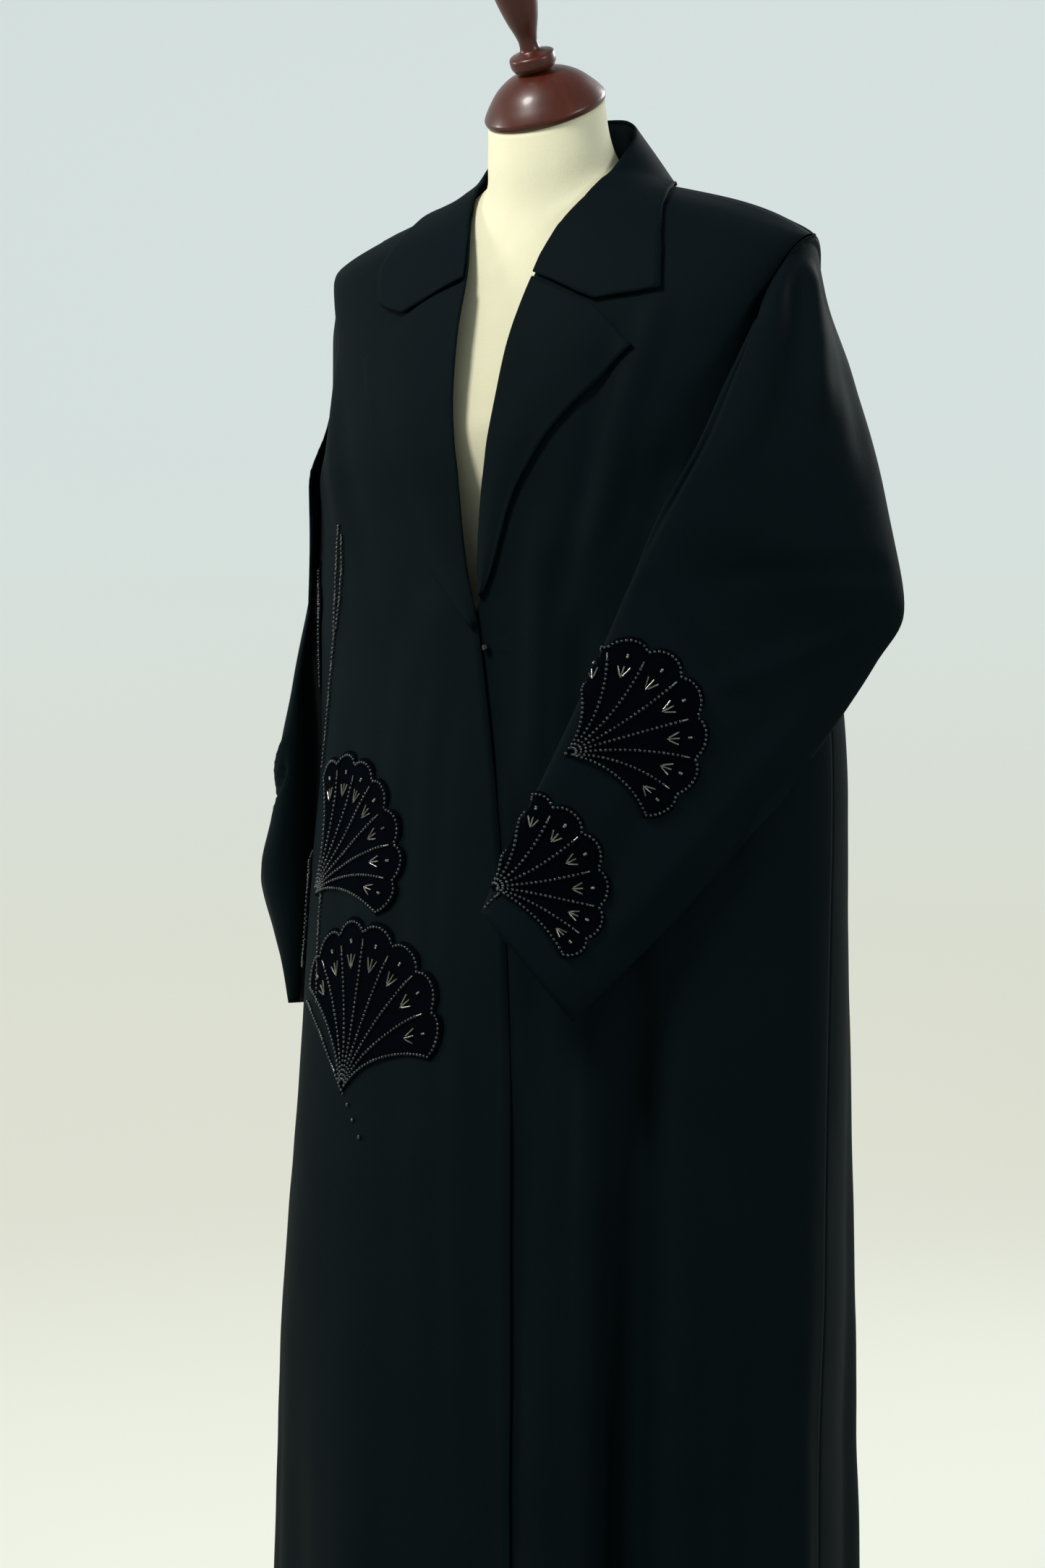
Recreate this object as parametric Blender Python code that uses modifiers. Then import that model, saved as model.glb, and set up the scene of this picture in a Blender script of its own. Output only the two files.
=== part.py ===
"""Abaya cloak in black crepe, worn on a dress form with no limbs.

Metres, +Z up. +X is the garment's left, -Y its front, and the floor is Z = 0.
The cloth is open sheets with a Solidify modifier: a row for each level, a column for each place
across. Everything that lies on a panel is made from the panel's own points, moved out.
"""

import math

import bmesh
import bpy
import numpy as np
from mathutils import Vector
from mathutils.bvhtree import BVHTree

# Cloth and seams
CLOTH = 0.0016
SEAM = 0.0008
FORM_CLEARANCE = 0.0027
LAPEL_FOOT = 0.0024
LAPEL_LIFT = 0.0030
OVERLAP_LIFT = 0.0042
SLEEVE_CLEARANCE = 0.0075
CLEARANCE_SHARE = 0.27
VELVET = 0.0012
VELVET_LIFT = 0.0005
FOLD_EASE = 0.0004
CLEARING_ROUNDS = 20

# Cloak
HEM_Z = 0.055
NECK_POINT_X = 0.070
NECK_POINT_Z = 1.427
SHOULDER_Y = 0.010
TIP_X = 0.232
TIP_Z = 1.368
SHOULDER_PAD = 0.090
PAD_ROWS = 2.2
FOLD_SQUARENESS = 1.6
ARMHOLE_MIDDLE_Z = 1.268
RIGHT_SEAM_SHARE = 1.8
NAPE_Y = 0.058
NAPE_Z = 1.447
BUTTON_RADIUS = 0.003
BUTTON_Z = 1.023
BUTTON_X = 0.0140

# Dress form and stand
NECK_TILT = math.radians(29)
NECK_TOP_Y = -0.030
NECK_TOP_Z = 1.486
CAP_RADIUS = 0.0525
POLE_RADIUS = 0.016
BASE_RADIUS = 0.190
BASE_HEIGHT = 0.030
TORSO_BOTTOM_Z = 0.81

# Torso rings from the neck's top down. z goes from front to side by the cosine of the way round,
# to the power drop.
# Columns: half_width, y_front, y_side, y_back, z_front, z_side, z_back, drop
FORM_RINGS = (
    (0.0515, -0.0750, -0.030, 0.0150, 1.4611, 1.4860, 1.5109, 1.0),
    (0.0530, -0.0765, -0.026, 0.0240, 1.432, 1.456, 1.478, 1.0),
    (0.0570, -0.0770, -0.015, 0.0360, 1.404, 1.438, 1.455, 1.3),
    (0.0680, -0.0800, -0.004, 0.0490, 1.384, 1.4295, 1.434, 1.7),
    (0.0980, -0.0860, 0.004, 0.0650, 1.362, 1.4145, 1.409, 2.0),
    (0.1400, -0.0950, 0.008, 0.0780, 1.335, 1.4035, 1.397, 2.0),
    (0.1780, -0.1050, 0.009, 0.0900, 1.300, 1.3910, 1.375, 2.0),
    (0.1940, -0.1150, 0.008, 0.0980, 1.262, 1.3560, 1.328, 2.0),
    (0.1930, -0.1230, 0.002, 0.1010, 1.228, 1.2900, 1.270, 2.0),
    (0.1800, -0.1260, -0.008, 0.0990, 1.195, 1.2150, 1.205, 2.0),
    (0.1600, -0.1120, -0.010, 0.0910, 1.130, 1.1300, 1.130, 2.0),
    (0.1350, -0.0950, -0.008, 0.0780, 1.045, 1.0450, 1.045, 2.0),
    (0.1580, -0.1050, -0.004, 0.0970, 0.960, 0.9600, 0.960, 2.0),
    (0.1760, -0.1120, 0.000, 0.1100, 0.880, 0.8800, 0.880, 2.0),
    (0.1720, -0.1060, 0.000, 0.1060, TORSO_BOTTOM_Z, TORSO_BOTTOM_Z, TORSO_BOTTOM_Z, 2.0),
)

# Upper rows of the panels. angle runs down the armhole from the shoulder tip, and y, z are the
# row's place on the centre line, where the row would cross it.
YOKE_COLUMNS = "angle y_front z_front y_back z_back".split()
YOKE = (
    (0, SHOULDER_Y, 1.450, NAPE_Y, NAPE_Z),
    (12, -0.034, 1.438, 0.074, 1.436),
    (30, -0.072, 1.403, 0.092, 1.412),
    (60, -0.101, 1.358, 0.110, 1.370),
    (90, -0.123, 1.302, 0.119, 1.315),
    (120, -0.136, 1.245, 0.123, 1.255),
    (150, -0.142, 1.200, 0.125, 1.205),
    (180, -0.144, 1.160, 0.126, 1.162),
)

# Level rows from below the underarm to the hem
LEVELS_COLUMNS = "z x_middle half_width y_side y_front y_back".split()
LEVELS = (
    (1.115, 0.006, 0.234, -0.006, -0.145, 0.129),
    (1.060, 0.010, 0.239, -0.008, -0.146, 0.135),
    (1.000, 0.015, 0.242, -0.010, -0.149, 0.143),
    (0.930, 0.018, 0.244, -0.012, -0.153, 0.152),
    (0.860, 0.016, 0.247, -0.014, -0.157, 0.160),
    (0.780, 0.013, 0.249, -0.016, -0.161, 0.168),
    (0.690, 0.010, 0.251, -0.018, -0.165, 0.175),
    (0.590, 0.006, 0.254, -0.020, -0.170, 0.182),
    (0.480, 0.003, 0.257, -0.023, -0.175, 0.189),
    (0.370, 0.001, 0.256, -0.026, -0.180, 0.193),
    (0.260, 0.001, 0.256, -0.028, -0.184, 0.195),
    (0.150, 0.001, 0.257, -0.030, -0.187, 0.198),
    (HEM_Z, 0.001, 0.259, -0.032, -0.190, 0.202),
)

# Front edges: the roll line of each lapel above the button, the free edge below it
EDGE_COLUMNS = "z x_left x_right".split()
EDGE = (
    (NECK_POINT_Z, NECK_POINT_X, -NECK_POINT_X),
    (1.400, 0.055, -0.054),
    (1.347, 0.038, -0.034),
    (1.281, 0.024, -0.030),
    (1.223, 0.016, -0.027),
    (1.166, 0.008, -0.019),
    (1.093, 0.004, -0.009),
    (1.062, 0.005, 0.000),
    (1.035, -0.008, 0.007),
    (1.000, -0.018, 0.013),
    (0.900, -0.014, 0.029),
    (0.730, -0.002, 0.045),
    (0.500, 0.004, 0.052),
    (0.250, 0.010, 0.059),
    (HEM_Z, 0.014, 0.063),
)

# Folds of the skirt: degrees round from the centre, half width in degrees, how far out at the
# hem (in if below 0), and the height where each fold begins
# Columns: panel, angle, half_angle, depth, z_top
FOLDS = (
    ("left_front", 19, 10, 0.013, 0.80),
    ("left_front", 33, 8, -0.040, 0.86),
    ("left_front", 46, 8, 0.012, 0.78),
    ("left_front", 64, 10, -0.008, 0.70),
    ("left_front", 80, 10, 0.006, 0.80),
    ("right_front", 22, 16, 0.008, 0.70),
    ("right_front", 48, 14, -0.007, 0.55),
    ("right_front", 74, 12, 0.008, 0.60),
    ("back", 0, 13, -0.020, 1.10),
    ("back", 20, 12, 0.020, 1.05),
    ("back", 41, 11, -0.022, 0.95),
    ("back", 62, 11, 0.016, 0.90),
    ("back", -20, 12, 0.020, 1.05),
    ("back", -41, 11, -0.020, 0.95),
    ("back", -62, 11, 0.015, 0.90),
)

UNDERARM_ROW = len(YOKE) - 1
ARMHOLE_STEP = 15

# Sleeve rings: how far along, then the back fold, the outer face, the front fold and the face
# towards the body. Ring 0 is the armhole, and X is away from the body on both sleeves.
ARMHOLE = ((0.208, 0.060, 1.268), (TIP_X, SHOULDER_Y, TIP_Z), (0.209, -0.050, 1.264), (0.233, -0.004, 1.168))
RIGHT_ARMHOLE = ((0.204, 0.060, 1.268), (TIP_X, SHOULDER_Y, TIP_Z), (0.195, -0.050, 1.264), (0.228, -0.006, 1.168))
LEFT_SLEEVE = (
    (0.00, *ARMHOLE),
    (0.08, (0.220, 0.060, 1.248), (0.241, 0.004, 1.329), (0.220, -0.070, 1.270), (0.246, -0.004, 1.155)),
    (0.20, (0.248, 0.060, 1.200), (0.264, -0.020, 1.260), (0.214, -0.104, 1.228), (0.251, -0.008, 1.128)),
    (0.32, (0.284, 0.043, 1.132), (0.281, -0.048, 1.182), (0.200, -0.134, 1.174), (0.256, -0.026, 1.100)),
    (0.43, (0.318, 0.012, 1.052), (0.268, -0.088, 1.108), (0.176, -0.152, 1.120), (0.250, -0.052, 1.078)),
    (0.51, (0.301, -0.008, 1.008), (0.240, -0.106, 1.050), (0.158, -0.163, 1.072), (0.228, -0.076, 1.030)),
    (0.62, (0.264, -0.054, 0.929), (0.208, -0.136, 0.972), (0.133, -0.181, 1.004), (0.190, -0.110, 0.962)),
    (0.75, (0.220, -0.103, 0.853), (0.172, -0.168, 0.892), (0.107, -0.203, 0.930), (0.156, -0.142, 0.884)),
    (0.88, (0.170, -0.152, 0.780), (0.132, -0.198, 0.816), (0.080, -0.221, 0.862), (0.120, -0.176, 0.814)),
    (1.00, (0.125, -0.199, 0.719), (0.102, -0.230, 0.762), (0.062, -0.237, 0.8075), (0.087, -0.205, 0.764)),
)
RIGHT_SLEEVE = (
    (0.00, *RIGHT_ARMHOLE),
    (0.08, (0.220, 0.070, 1.242), (0.236, 0.010, 1.322), (0.198, -0.057, 1.248), (0.240, -0.002, 1.150)),
    (0.20, (0.228, 0.082, 1.185), (0.238, 0.012, 1.238), (0.203, -0.060, 1.190), (0.238, 0.006, 1.130)),
    (0.36, (0.238, 0.096, 1.090), (0.248, 0.014, 1.110), (0.220, -0.060, 1.090), (0.236, 0.012, 1.080)),
    (0.50, (0.252, 0.104, 0.998), (0.268, 0.018, 1.004), (0.239, -0.062, 0.998), (0.236, 0.018, 0.996)),
    (0.60, (0.266, 0.108, 0.930), (0.290, 0.020, 0.926), (0.250, -0.062, 0.930), (0.236, 0.020, 0.930)),
    (0.66, (0.272, 0.108, 0.892), (0.294, 0.020, 0.884), (0.256, -0.060, 0.890), (0.238, 0.020, 0.890)),
    (0.74, (0.276, 0.104, 0.840), (0.306, 0.014, 0.834), (0.264, -0.058, 0.838), (0.240, 0.020, 0.838)),
    (0.86, (0.266, 0.088, 0.780), (0.290, 0.008, 0.778), (0.256, -0.054, 0.780), (0.240, 0.014, 0.780)),
    (1.00, (0.254, 0.070, 0.716), (0.266, 0.004, 0.714), (0.252, -0.050, 0.716), (0.241, 0.008, 0.717)),
)

# Lapels: height on the roll line, then the outer edge's height and place. The last row runs
# along the seam to the collar, out to the notch.
# Columns: z_roll, z_outer, x_outer
LEFT_LAPEL = (
    (1.066, 1.068, 0.0105),
    (1.100, 1.092, 0.0200),
    (1.160, 1.150, 0.0370),
    (1.210, 1.196, 0.0640),
    (1.250, 1.232, 0.0960),
    (1.290, 1.268, 0.1320),
    (1.332, 1.3065, 0.0900),
)
RIGHT_LAPEL = (
    (1.040, 1.040, 0.0010),
    (1.100, 1.095, -0.0465),
    (1.160, 1.155, -0.0840),
    (1.205, 1.198, -0.1080),
    (1.250, 1.236, -0.1250),
    (1.290, 1.273, -0.1350),
    (1.332, 1.3065, -0.0900),
)

# Collar, from its seam with the lapel round to the centre back. side is the fraction of the way
# round; the roll edge and the outer edge are points on the garment's left.
COLLAR_COLUMNS = "side x_roll y_roll z_roll x_outer y_outer z_outer".split()
COLLAR = (
    (0.00, 0.0340, -0.092, 1.3290, 0.0900, -0.094, 1.3045),
    (0.08, 0.0370, -0.090, 1.3450, 0.1450, -0.088, 1.3150),
    (0.24, 0.0450, -0.076, 1.3730, 0.1350, -0.066, 1.3500),
    (0.40, 0.0570, -0.052, 1.4030, 0.1200, -0.038, 1.3800),
    (0.55, 0.0680, -0.020, 1.4380, 0.1050, 0.004, 1.4120),
    (0.70, 0.0640, 0.014, 1.4650, 0.0870, 0.040, 1.4250),
    (0.85, 0.0400, 0.042, 1.4830, 0.0550, 0.067, 1.4290),
    (1.00, 0.0000, 0.052, 1.4880, 0.0000, 0.078, 1.4280),
)
RIGHT_CORNER = ((0.0, 1.0), (0.08, 0.83), (0.24, 1.0))
FALL_FOOT = 0.0037
FALL_LIFT = 0.0044
FALL_BULGE = 0.05
FALL_ROUND = 0.001
ROLL_LIFT = 0.0010
STAND_START = 0.64
STAND_RISE = 0.0056
STAND_INSET = 0.0020

# Velvet leaves. On the front: place of the stem end round the panel from the centre, and its
# height. On the sleeve: how far from the front fold towards the back, and how far up from the cuff.
# turn is degrees from straight up towards the front edge or the back fold.
# Columns: name, across, up, turn, spread, length
FRONT_LEAVES = (
    ("leaf_front_low", 0.148, 0.640, 17, 53, 0.159),
    ("leaf_front_middle", 0.221, 0.808, 49, 46, 0.153),
    ("leaf_front_side", 0.250, 0.742, -42, 46, 0.130),
    ("leaf_front_top", 0.262, 0.985, -12, 34, 0.130),
)
SLEEVE_LEAVES = (
    ("leaf_sleeve_low", 0.000, 0.026, 33, 53, 0.127),
    ("leaf_sleeve_upper", 0.008, 0.179, 40, 58, 0.129),
    ("leaf_sleeve_fold", 0.000, 0.196, -66, 36, 0.095),
)
LEAF_LOBES = 7
LEAF_SCALLOP = 0.07
LEAF_ROWS = (0.05, 0.20, 0.36, 0.52, 0.68, 0.84, 1.0)
LEAF_CURL = 0.55

# Colours are linear red, green, blue
MATERIALS = {
    "crepe": ((0.0040, 0.0072, 0.0086), 0.85, 0.0),
    "velvet": ((0.0012, 0.0014, 0.0022), 0.95, 0.0),
    "jersey": ((0.72, 0.69, 0.49), 0.9, 0.0),
    "mahogany": ((0.155, 0.026, 0.012), 0.35, 0.0),
    "black_glass": ((0.006, 0.006, 0.008), 0.15, 0.0),
}


def table(rows, names):
    """The rows as one array for each column."""
    return {name: np.array([row[i] for row in rows]) for i, name in enumerate(names)}


def smooth(known_at, values, at):
    """values, one row for each place in known_at, read at another place by a Hermite curve."""
    values = np.asarray(values, float)
    k = int(np.clip(np.searchsorted(known_at, at) - 1, 0, len(known_at) - 2))
    slopes = []
    for i in (k, k + 1):
        low = max(i - 1, 0)
        high = min(i + 1, len(known_at) - 1)
        slopes.append((values[high] - values[low]) / (known_at[high] - known_at[low]))
    step = known_at[k + 1] - known_at[k]
    t = (at - known_at[k]) / step
    return (
        values[k] * (1 + 2 * t) * (1 - t) ** 2
        + slopes[0] * step * t * (1 - t) ** 2
        + values[k + 1] * t * t * (3 - 2 * t)
        + slopes[1] * step * t * t * (t - 1)
    )


def ease(x):
    """0 to 1 with level ends."""
    x = min(max(x, 0.0), 1.0)
    return x * x * (3 - 2 * x)


def ring_point(keys, degrees):
    """A closed smooth ring through four points: at 0, 90, 180 and 270 degrees."""
    back, outer, front, inner = (np.array(key) for key in keys)
    a = math.radians(degrees)
    return (
        (back + outer + front + inner) / 4
        + (back - front) / 2 * math.cos(a)
        + (outer - inner) / 2 * math.sin(a)
        + (back + front - outer - inner) / 4 * math.cos(2 * a)
    )


def edge_x(side, z):
    """The front edge's X at a height, on the left (+1) or right (-1) front."""
    edge = table(EDGE, EDGE_COLUMNS)
    column = edge["x_left"] if side > 0 else edge["x_right"]
    return float(smooth(-edge["z"], column, -z))


def armhole_point(face, side, row):
    """Where a row of the yoke meets the armhole: on the straight line between the sleeve's points."""
    angle = float(np.interp(row, range(len(YOKE)), [line[0] for line in YOKE]))
    low = ARMHOLE_STEP * math.floor(angle / ARMHOLE_STEP + 1e-6)
    t = (angle - low) / ARMHOLE_STEP
    way = 1 if face == "front" else -1
    keys = ARMHOLE if side > 0 else RIGHT_ARMHOLE
    ends = [ring_point(keys, 90 + way * a) for a in (low, low + ARMHOLE_STEP)]
    return ends[0] * (1 - t) + ends[1] * t


def panel_rows(face, side):
    """Each row of a half panel as: middle X, half width, outer Y, outer Z, centre Y, centre Z."""
    yoke = table(YOKE, YOKE_COLUMNS)
    levels = table(LEVELS, LEVELS_COLUMNS)
    rows = []
    for i in range(len(YOKE)):
        x, y, z = armhole_point(face, side, i)
        rows.append((0.0, x, y, z, yoke["y_" + face][i], yoke["z_" + face][i]))
    for i, z in enumerate(levels["z"]):
        rows.append(
            (levels["x_middle"][i], levels["half_width"][i], levels["y_side"][i], z, levels["y_" + face][i], z)
        )
    return np.array(rows)


ROWS = {(face, side): panel_rows(face, side) for face in ("front", "back") for side in (1, -1)}
LAST_ROW = len(ROWS["front", 1]) - 1


def fold_depth(panel, degrees, z):
    """How far the panel's folds carry it out at this place."""
    depth = 0.0
    for name, angle, half, most, z_top in FOLDS:
        away = abs(degrees - angle) / half
        if name == panel and away < 1 and z < z_top:
            depth += most * ease((z_top - z) / (z_top - HEM_Z)) ** 0.8 * math.cos(away * math.pi / 2) ** 2
    return depth


def section_point(face, side, row, degrees):
    """A point of the body of the cloak. degrees go from the centre line, 0, to the side, 90."""
    middle, half, y_side, z_side, y_centre, z_centre = smooth(np.arange(LAST_ROW + 1), ROWS[face, side], row)
    if row <= UNDERARM_ROW:
        middle = 0.0
        half, y_side, z_side = armhole_point(face, side, row)
    a = math.radians(degrees)
    x = half * math.sin(a)
    y = y_side + (y_centre - y_side) * math.cos(a)
    z = z_side + (z_centre - z_side) * (1 - abs(x) / half)
    if face == "back":
        out = fold_depth("back", degrees * side, z)
    else:
        out = fold_depth("left_front" if side * degrees > 0 else "right_front", abs(degrees), z)
    away = np.array([x, (y - y_side) * FOLD_SQUARENESS])
    away = away / (np.linalg.norm(away) + 1e-9)
    return Vector((middle + side * (x + out * away[0]), y + out * away[1], z + pad_rise(row, abs(x))))


def pad_rise(row, x):
    """What the shoulder pad adds to the height, most near the armhole and none below its last row."""
    t = x / TIP_X
    return SHOULDER_PAD * t**3 * max(0.0, 1 - t) * max(0.0, 1 - row / PAD_ROWS) ** 2


def front_angle(side, row, x):
    """Degrees round at which the front reaches this X."""
    middle, half = smooth(np.arange(LAST_ROW + 1), ROWS["front", side], row)[:2]
    return math.degrees(math.asin(float(np.clip(side * (x - middle) / half, -0.99, 0.99))))


def edge_angle(side, row):
    """Degrees round of the front edge on this row, whose height depends on its X."""
    degrees = 10.0
    for _ in range(12):
        z = section_point("front", side, row, degrees).z
        degrees = front_angle(side, row, edge_x(side, z))
    return degrees


def off(tree, point, gap):
    """The point, moved out along the nearest face's normal until it clears that surface by gap.

    A point that lies past the surface's edge stays where it is.
    """
    near, normal, _, distance = tree.find_nearest(point)
    height = (point - near).dot(normal)
    aside = math.sqrt(max(0.0, distance * distance - height * height))
    if height >= gap or aside > gap:
        return point
    return point + normal * (gap - height)


def tree_of(grids):
    """A search tree over grids of points. Each face looks out of the body."""
    points = []
    faces = []
    for grid in grids:
        start = len(points)
        columns = len(grid[0])
        points += [p for line in grid for p in line]
        for i in range(len(grid) - 1):
            for j in range(columns - 1):
                a = start + i * columns + j
                faces.append((a, a + columns, a + columns + 1, a + 1))
    return BVHTree.FromPolygons(points, faces)


def right_front_lift(side, x, z):
    """The right front lies over the left one, so it stands off near its edge below the lapels."""
    if side > 0:
        return 0.0
    return OVERLAP_LIFT * ease((x + 0.075) / 0.045) * ease((1.10 - z) / 0.05)


def front_grid(side, rows, columns, tree):
    """Points of a front panel's inner face, from the front edge out to the armhole or side seam."""
    grid = []
    for row in rows:
        first = edge_angle(side, row)
        line = []
        for j in range(columns + 1):
            degrees = first + (90 - first) * j / columns
            p = section_point("front", side, row, degrees)
            p.y -= right_front_lift(side, p.x, p.z)
            if j < columns or row > UNDERARM_ROW:
                p = off(tree, p, FORM_CLEARANCE)
            if row == 0 or (j == columns and row >= UNDERARM_ROW):
                p.y -= SEAM / 2
            line.append(p)
        grid.append(line if side > 0 else line[::-1])
    return grid


def neckline_point(side, x):
    """The back neckline from the nape out to the neck point."""
    t = abs(x) / NECK_POINT_X
    y = NAPE_Y + (SHOULDER_Y - NAPE_Y) * (1 - math.sqrt(max(0.0, 1 - t * t)))
    return Vector((side * abs(x), y, NAPE_Z + (NECK_POINT_Z - NAPE_Z) * t * t))


def back_grid(rows, columns, tree):
    """Points of the back's inner face, from the left side across to the right side."""
    neck = math.degrees(math.asin(NECK_POINT_X / TIP_X))
    half = [neck * j / 3 for j in range(4)]
    half += [neck + (90 - neck) * j / (columns - 3) for j in range(1, columns - 2)]
    grid = []
    for row in rows:
        line = []
        for side, angles in ((1, half[::-1]), (-1, half[1:])):
            for degrees in angles:
                p = section_point("back", side, row, degrees)
                if row == 0 and degrees < neck - 0.1:
                    p = neckline_point(side, TIP_X * math.sin(math.radians(degrees)))
                elif row == 0:
                    p.y = SHOULDER_Y
                    p.z = shoulder_z(abs(p.x))
                if degrees < 89 or row > UNDERARM_ROW:
                    p = off(tree, p, FORM_CLEARANCE)
                if row == 0 or (degrees > 89 and row >= UNDERARM_ROW):
                    p.y += SEAM / 2
                line.append(p)
        grid.append(line)
    return grid


def shoulder_z(x):
    """Height of the shoulder seam."""
    return float(TIP_Z + (YOKE[0][2] - TIP_Z) * (1 - x / TIP_X)) + pad_rise(0, x)


def sleeve_point(side, rings, along, degrees):
    """A point of a sleeve's outer face: along 0 is the armhole and 1 the cuff."""
    places = [ring[0] for ring in rings]
    keys = smooth(places, [ring[1:] for ring in rings], along)
    x, y, z = ring_point(keys, degrees)
    return Vector((side * x, y, z))


def sleeve_grid(side, rings, alongs, around, tree):
    """Rings of a sleeve's outer face, kept off the body."""
    grid = []
    for along in alongs:
        line = []
        for j in range(around):
            degrees = 90 + 360 * j / around
            p = sleeve_point(side, rings, along, degrees)
            if along == 0:
                out = p - Vector((side * TIP_X, 0, ARMHOLE_MIDDLE_Z))
                out.x = 0
                seam = SEAM if side > 0 else SEAM * RIGHT_SEAM_SHARE
                p = p - out.normalized() * seam
                p.x += side * (CLOTH + seam)
            else:
                p = off(tree, p, CLOTH * 2 + SEAM / 2 + SLEEVE_CLEARANCE * ease(along / CLEARANCE_SHARE))
            line.append(p)
        grid.append(line[::-1] if side > 0 else line)
    return grid


def front_place(side, x, z):
    """The row and degrees of the front panel's point with this X and height."""
    low = 0.0
    high = float(LAST_ROW)
    for _ in range(30):
        row = (low + high) / 2
        degrees = front_angle(side, row, x)
        if section_point("front", side, row, degrees).z > z:
            low = row
        else:
            high = row
    return row, degrees


def front_at(side, x, z, tree):
    """The front panel's inner face at this X and height."""
    row, degrees = front_place(side, x, z)
    p = section_point("front", side, row, degrees)
    p.y -= right_front_lift(side, p.x, p.z)
    return off(tree, p, FORM_CLEARANCE)


def lapel_grid(side, rows, lines, columns, tree, panels):
    """A turned-back lapel from its roll line out, standing a little off the front."""
    last = len(rows) - 1
    grid = []
    for i in range(lines + 1):
        at = last * i / lines
        z_roll = float(np.interp(at, range(last + 1), [row[0] for row in rows]))
        z_outer = float(np.interp(at, range(last + 1), [row[1] for row in rows]))
        x_outer = float(np.interp(at, range(last + 1), [row[2] for row in rows]))
        x_roll = edge_x(side, z_roll)
        line = []
        for j in range(columns + 1):
            t = j / columns
            x = x_roll + (x_outer - x_roll) * t
            z = z_roll + (z_outer - z_roll) * t
            p = front_at(side, x, z, tree)
            lift = CLOTH + LAPEL_FOOT + LAPEL_LIFT * math.sin(math.pi * 0.75 * min(t * 1.2, 1.0))
            line.append(off(panels, p, lift))
        grid.append(line if side > 0 else line[::-1])
    return grid


def collar_half(columns, places):
    """Fall of the collar on the garment's left: from the roll edge out, at each place round."""
    collar = table(COLLAR, COLLAR_COLUMNS)
    names = ("x_roll", "y_roll", "z_roll", "x_outer", "y_outer", "z_outer")
    values = np.stack([collar[name] for name in names], axis=1)
    half = []
    for place in places:
        found = smooth(collar["side"], values, place)
        roll = Vector(found[:3])
        outer = Vector(found[3:])
        bulge = Vector((outer.x - roll.x, outer.y - roll.y, 0)) * FALL_BULGE + Vector((0, 0, FALL_ROUND))
        rise = ease((place - 0.3) / 0.4)
        line = []
        for j in range(columns + 1):
            t = j / columns
            line.append(roll.lerp(outer, t) + bulge * (rise * math.sin(math.pi * t)))
        half.append(line)
    return half


def both_sides(half, places):
    """Lines on the left, carried round the back to the right as mirror images.

    The photo shows the right side shorter at its front corner.
    """
    mirrored = []
    for place, line in zip(places, half):
        share = float(np.interp(place, *zip(*RIGHT_CORNER)))
        mirrored.append([Vector((-q.x, q.y, q.z)) for q in (line[0].lerp(p, share) for p in line)])
    return mirrored + half[-2::-1]


def leaf_plan(across, out, spread, length):
    """A place on a flat leaf, as sideways and up from the stem end. across is -1 to 1."""
    angle = math.radians(spread) * across * out**LEAF_CURL
    lobe = abs(math.sin(math.pi * LEAF_LOBES * (across + 1) / 2)) ** 0.5
    reach = 1 - LEAF_SCALLOP * (1 - lobe) * out**4
    shape = 1 - 0.28 * across * across - 0.03 * across
    radius = length * out * reach * shape
    return radius * math.sin(angle), radius * math.cos(angle)


def turned(sideways, up, degrees):
    """The place after the leaf is turned about its stem end."""
    a = math.radians(degrees)
    return sideways * math.cos(a) + up * math.sin(a), up * math.cos(a) - sideways * math.sin(a)


def arc_point(curve, target):
    """Where a curve of degrees reaches this distance from its start at 0 degrees."""
    steps = 90
    before = curve(0.0)
    total = 0.0
    way = 1 if target >= 0 else -1
    for i in range(1, steps + 1):
        after = curve(way * i * 150 / steps)
        step = (after - before).length
        if total + step >= abs(target):
            return way * 150 / steps * (i - 1 + (abs(target) - total) / step)
        total += step
        before = after
    return way * 150.0


def row_at(z):
    """Row of the panels at a height below the underarm."""
    levels = [row[3] for row in ROWS["front", -1][UNDERARM_ROW:]]
    return UNDERARM_ROW + float(np.interp(-z, [-level for level in levels], range(len(levels))))


def round_body(row, degrees):
    """The right front below the underarm, carried on past the side seam onto the back."""
    if degrees <= 90:
        return section_point("front", -1, row, degrees)
    return section_point("back", -1, row, 180 - degrees)


def leaf_grid(spec, place, tree, lift):
    """A leaf's underside, laid on a surface by place(across, up)."""
    _, across0, up0, turn, spread, length = spec
    count = LEAF_LOBES * 2
    grid = []
    for out in LEAF_ROWS:
        line = []
        for j in range(count + 1):
            sideways, up = leaf_plan(2 * j / count - 1, out, spread, length)
            sideways, up = turned(sideways, up, turn)
            across = across0 - sideways if place is on_front else across0 + sideways
            line.append(lifted(tree, place(across, up0 + up), lift))
        grid.append(line[::-1])
    clear_cells(grid, tree, lift)
    return grid


def clear_cells(grid, tree, gap):
    """Moves the grid's points out until the lines between neighbours clear the surface too."""
    ways = ((1, 0), (0, 1), (1, 1), (1, -1))
    for _ in range(CLEARING_ROUNDS):
        for i, line in enumerate(grid):
            for j, p in enumerate(line):
                for down, over in ways:
                    if i + down >= len(grid) or not 0 <= j + over < len(line):
                        continue
                    other = grid[i + down][j + over]
                    for t in (0.17, 0.33, 0.5, 0.67, 0.83):
                        middle = p.lerp(other, t)
                        near, normal, _, _ = tree.find_nearest(middle)
                        short = gap - (middle - near).dot(normal)
                        if short > 0:
                            p += normal * short * (1 - t)
                            other += normal * short * t


def lifted(tree, point, lift):
    """The nearest place on the surface, moved out by lift."""
    near, normal, _, _ = tree.find_nearest(point)
    return near + normal * lift


def on_front(across, up):
    """A place on the right front: across is measured round the cloth from the centre line."""
    row = row_at(up)
    return round_body(row, arc_point(lambda degrees: round_body(row, degrees), across))


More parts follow.
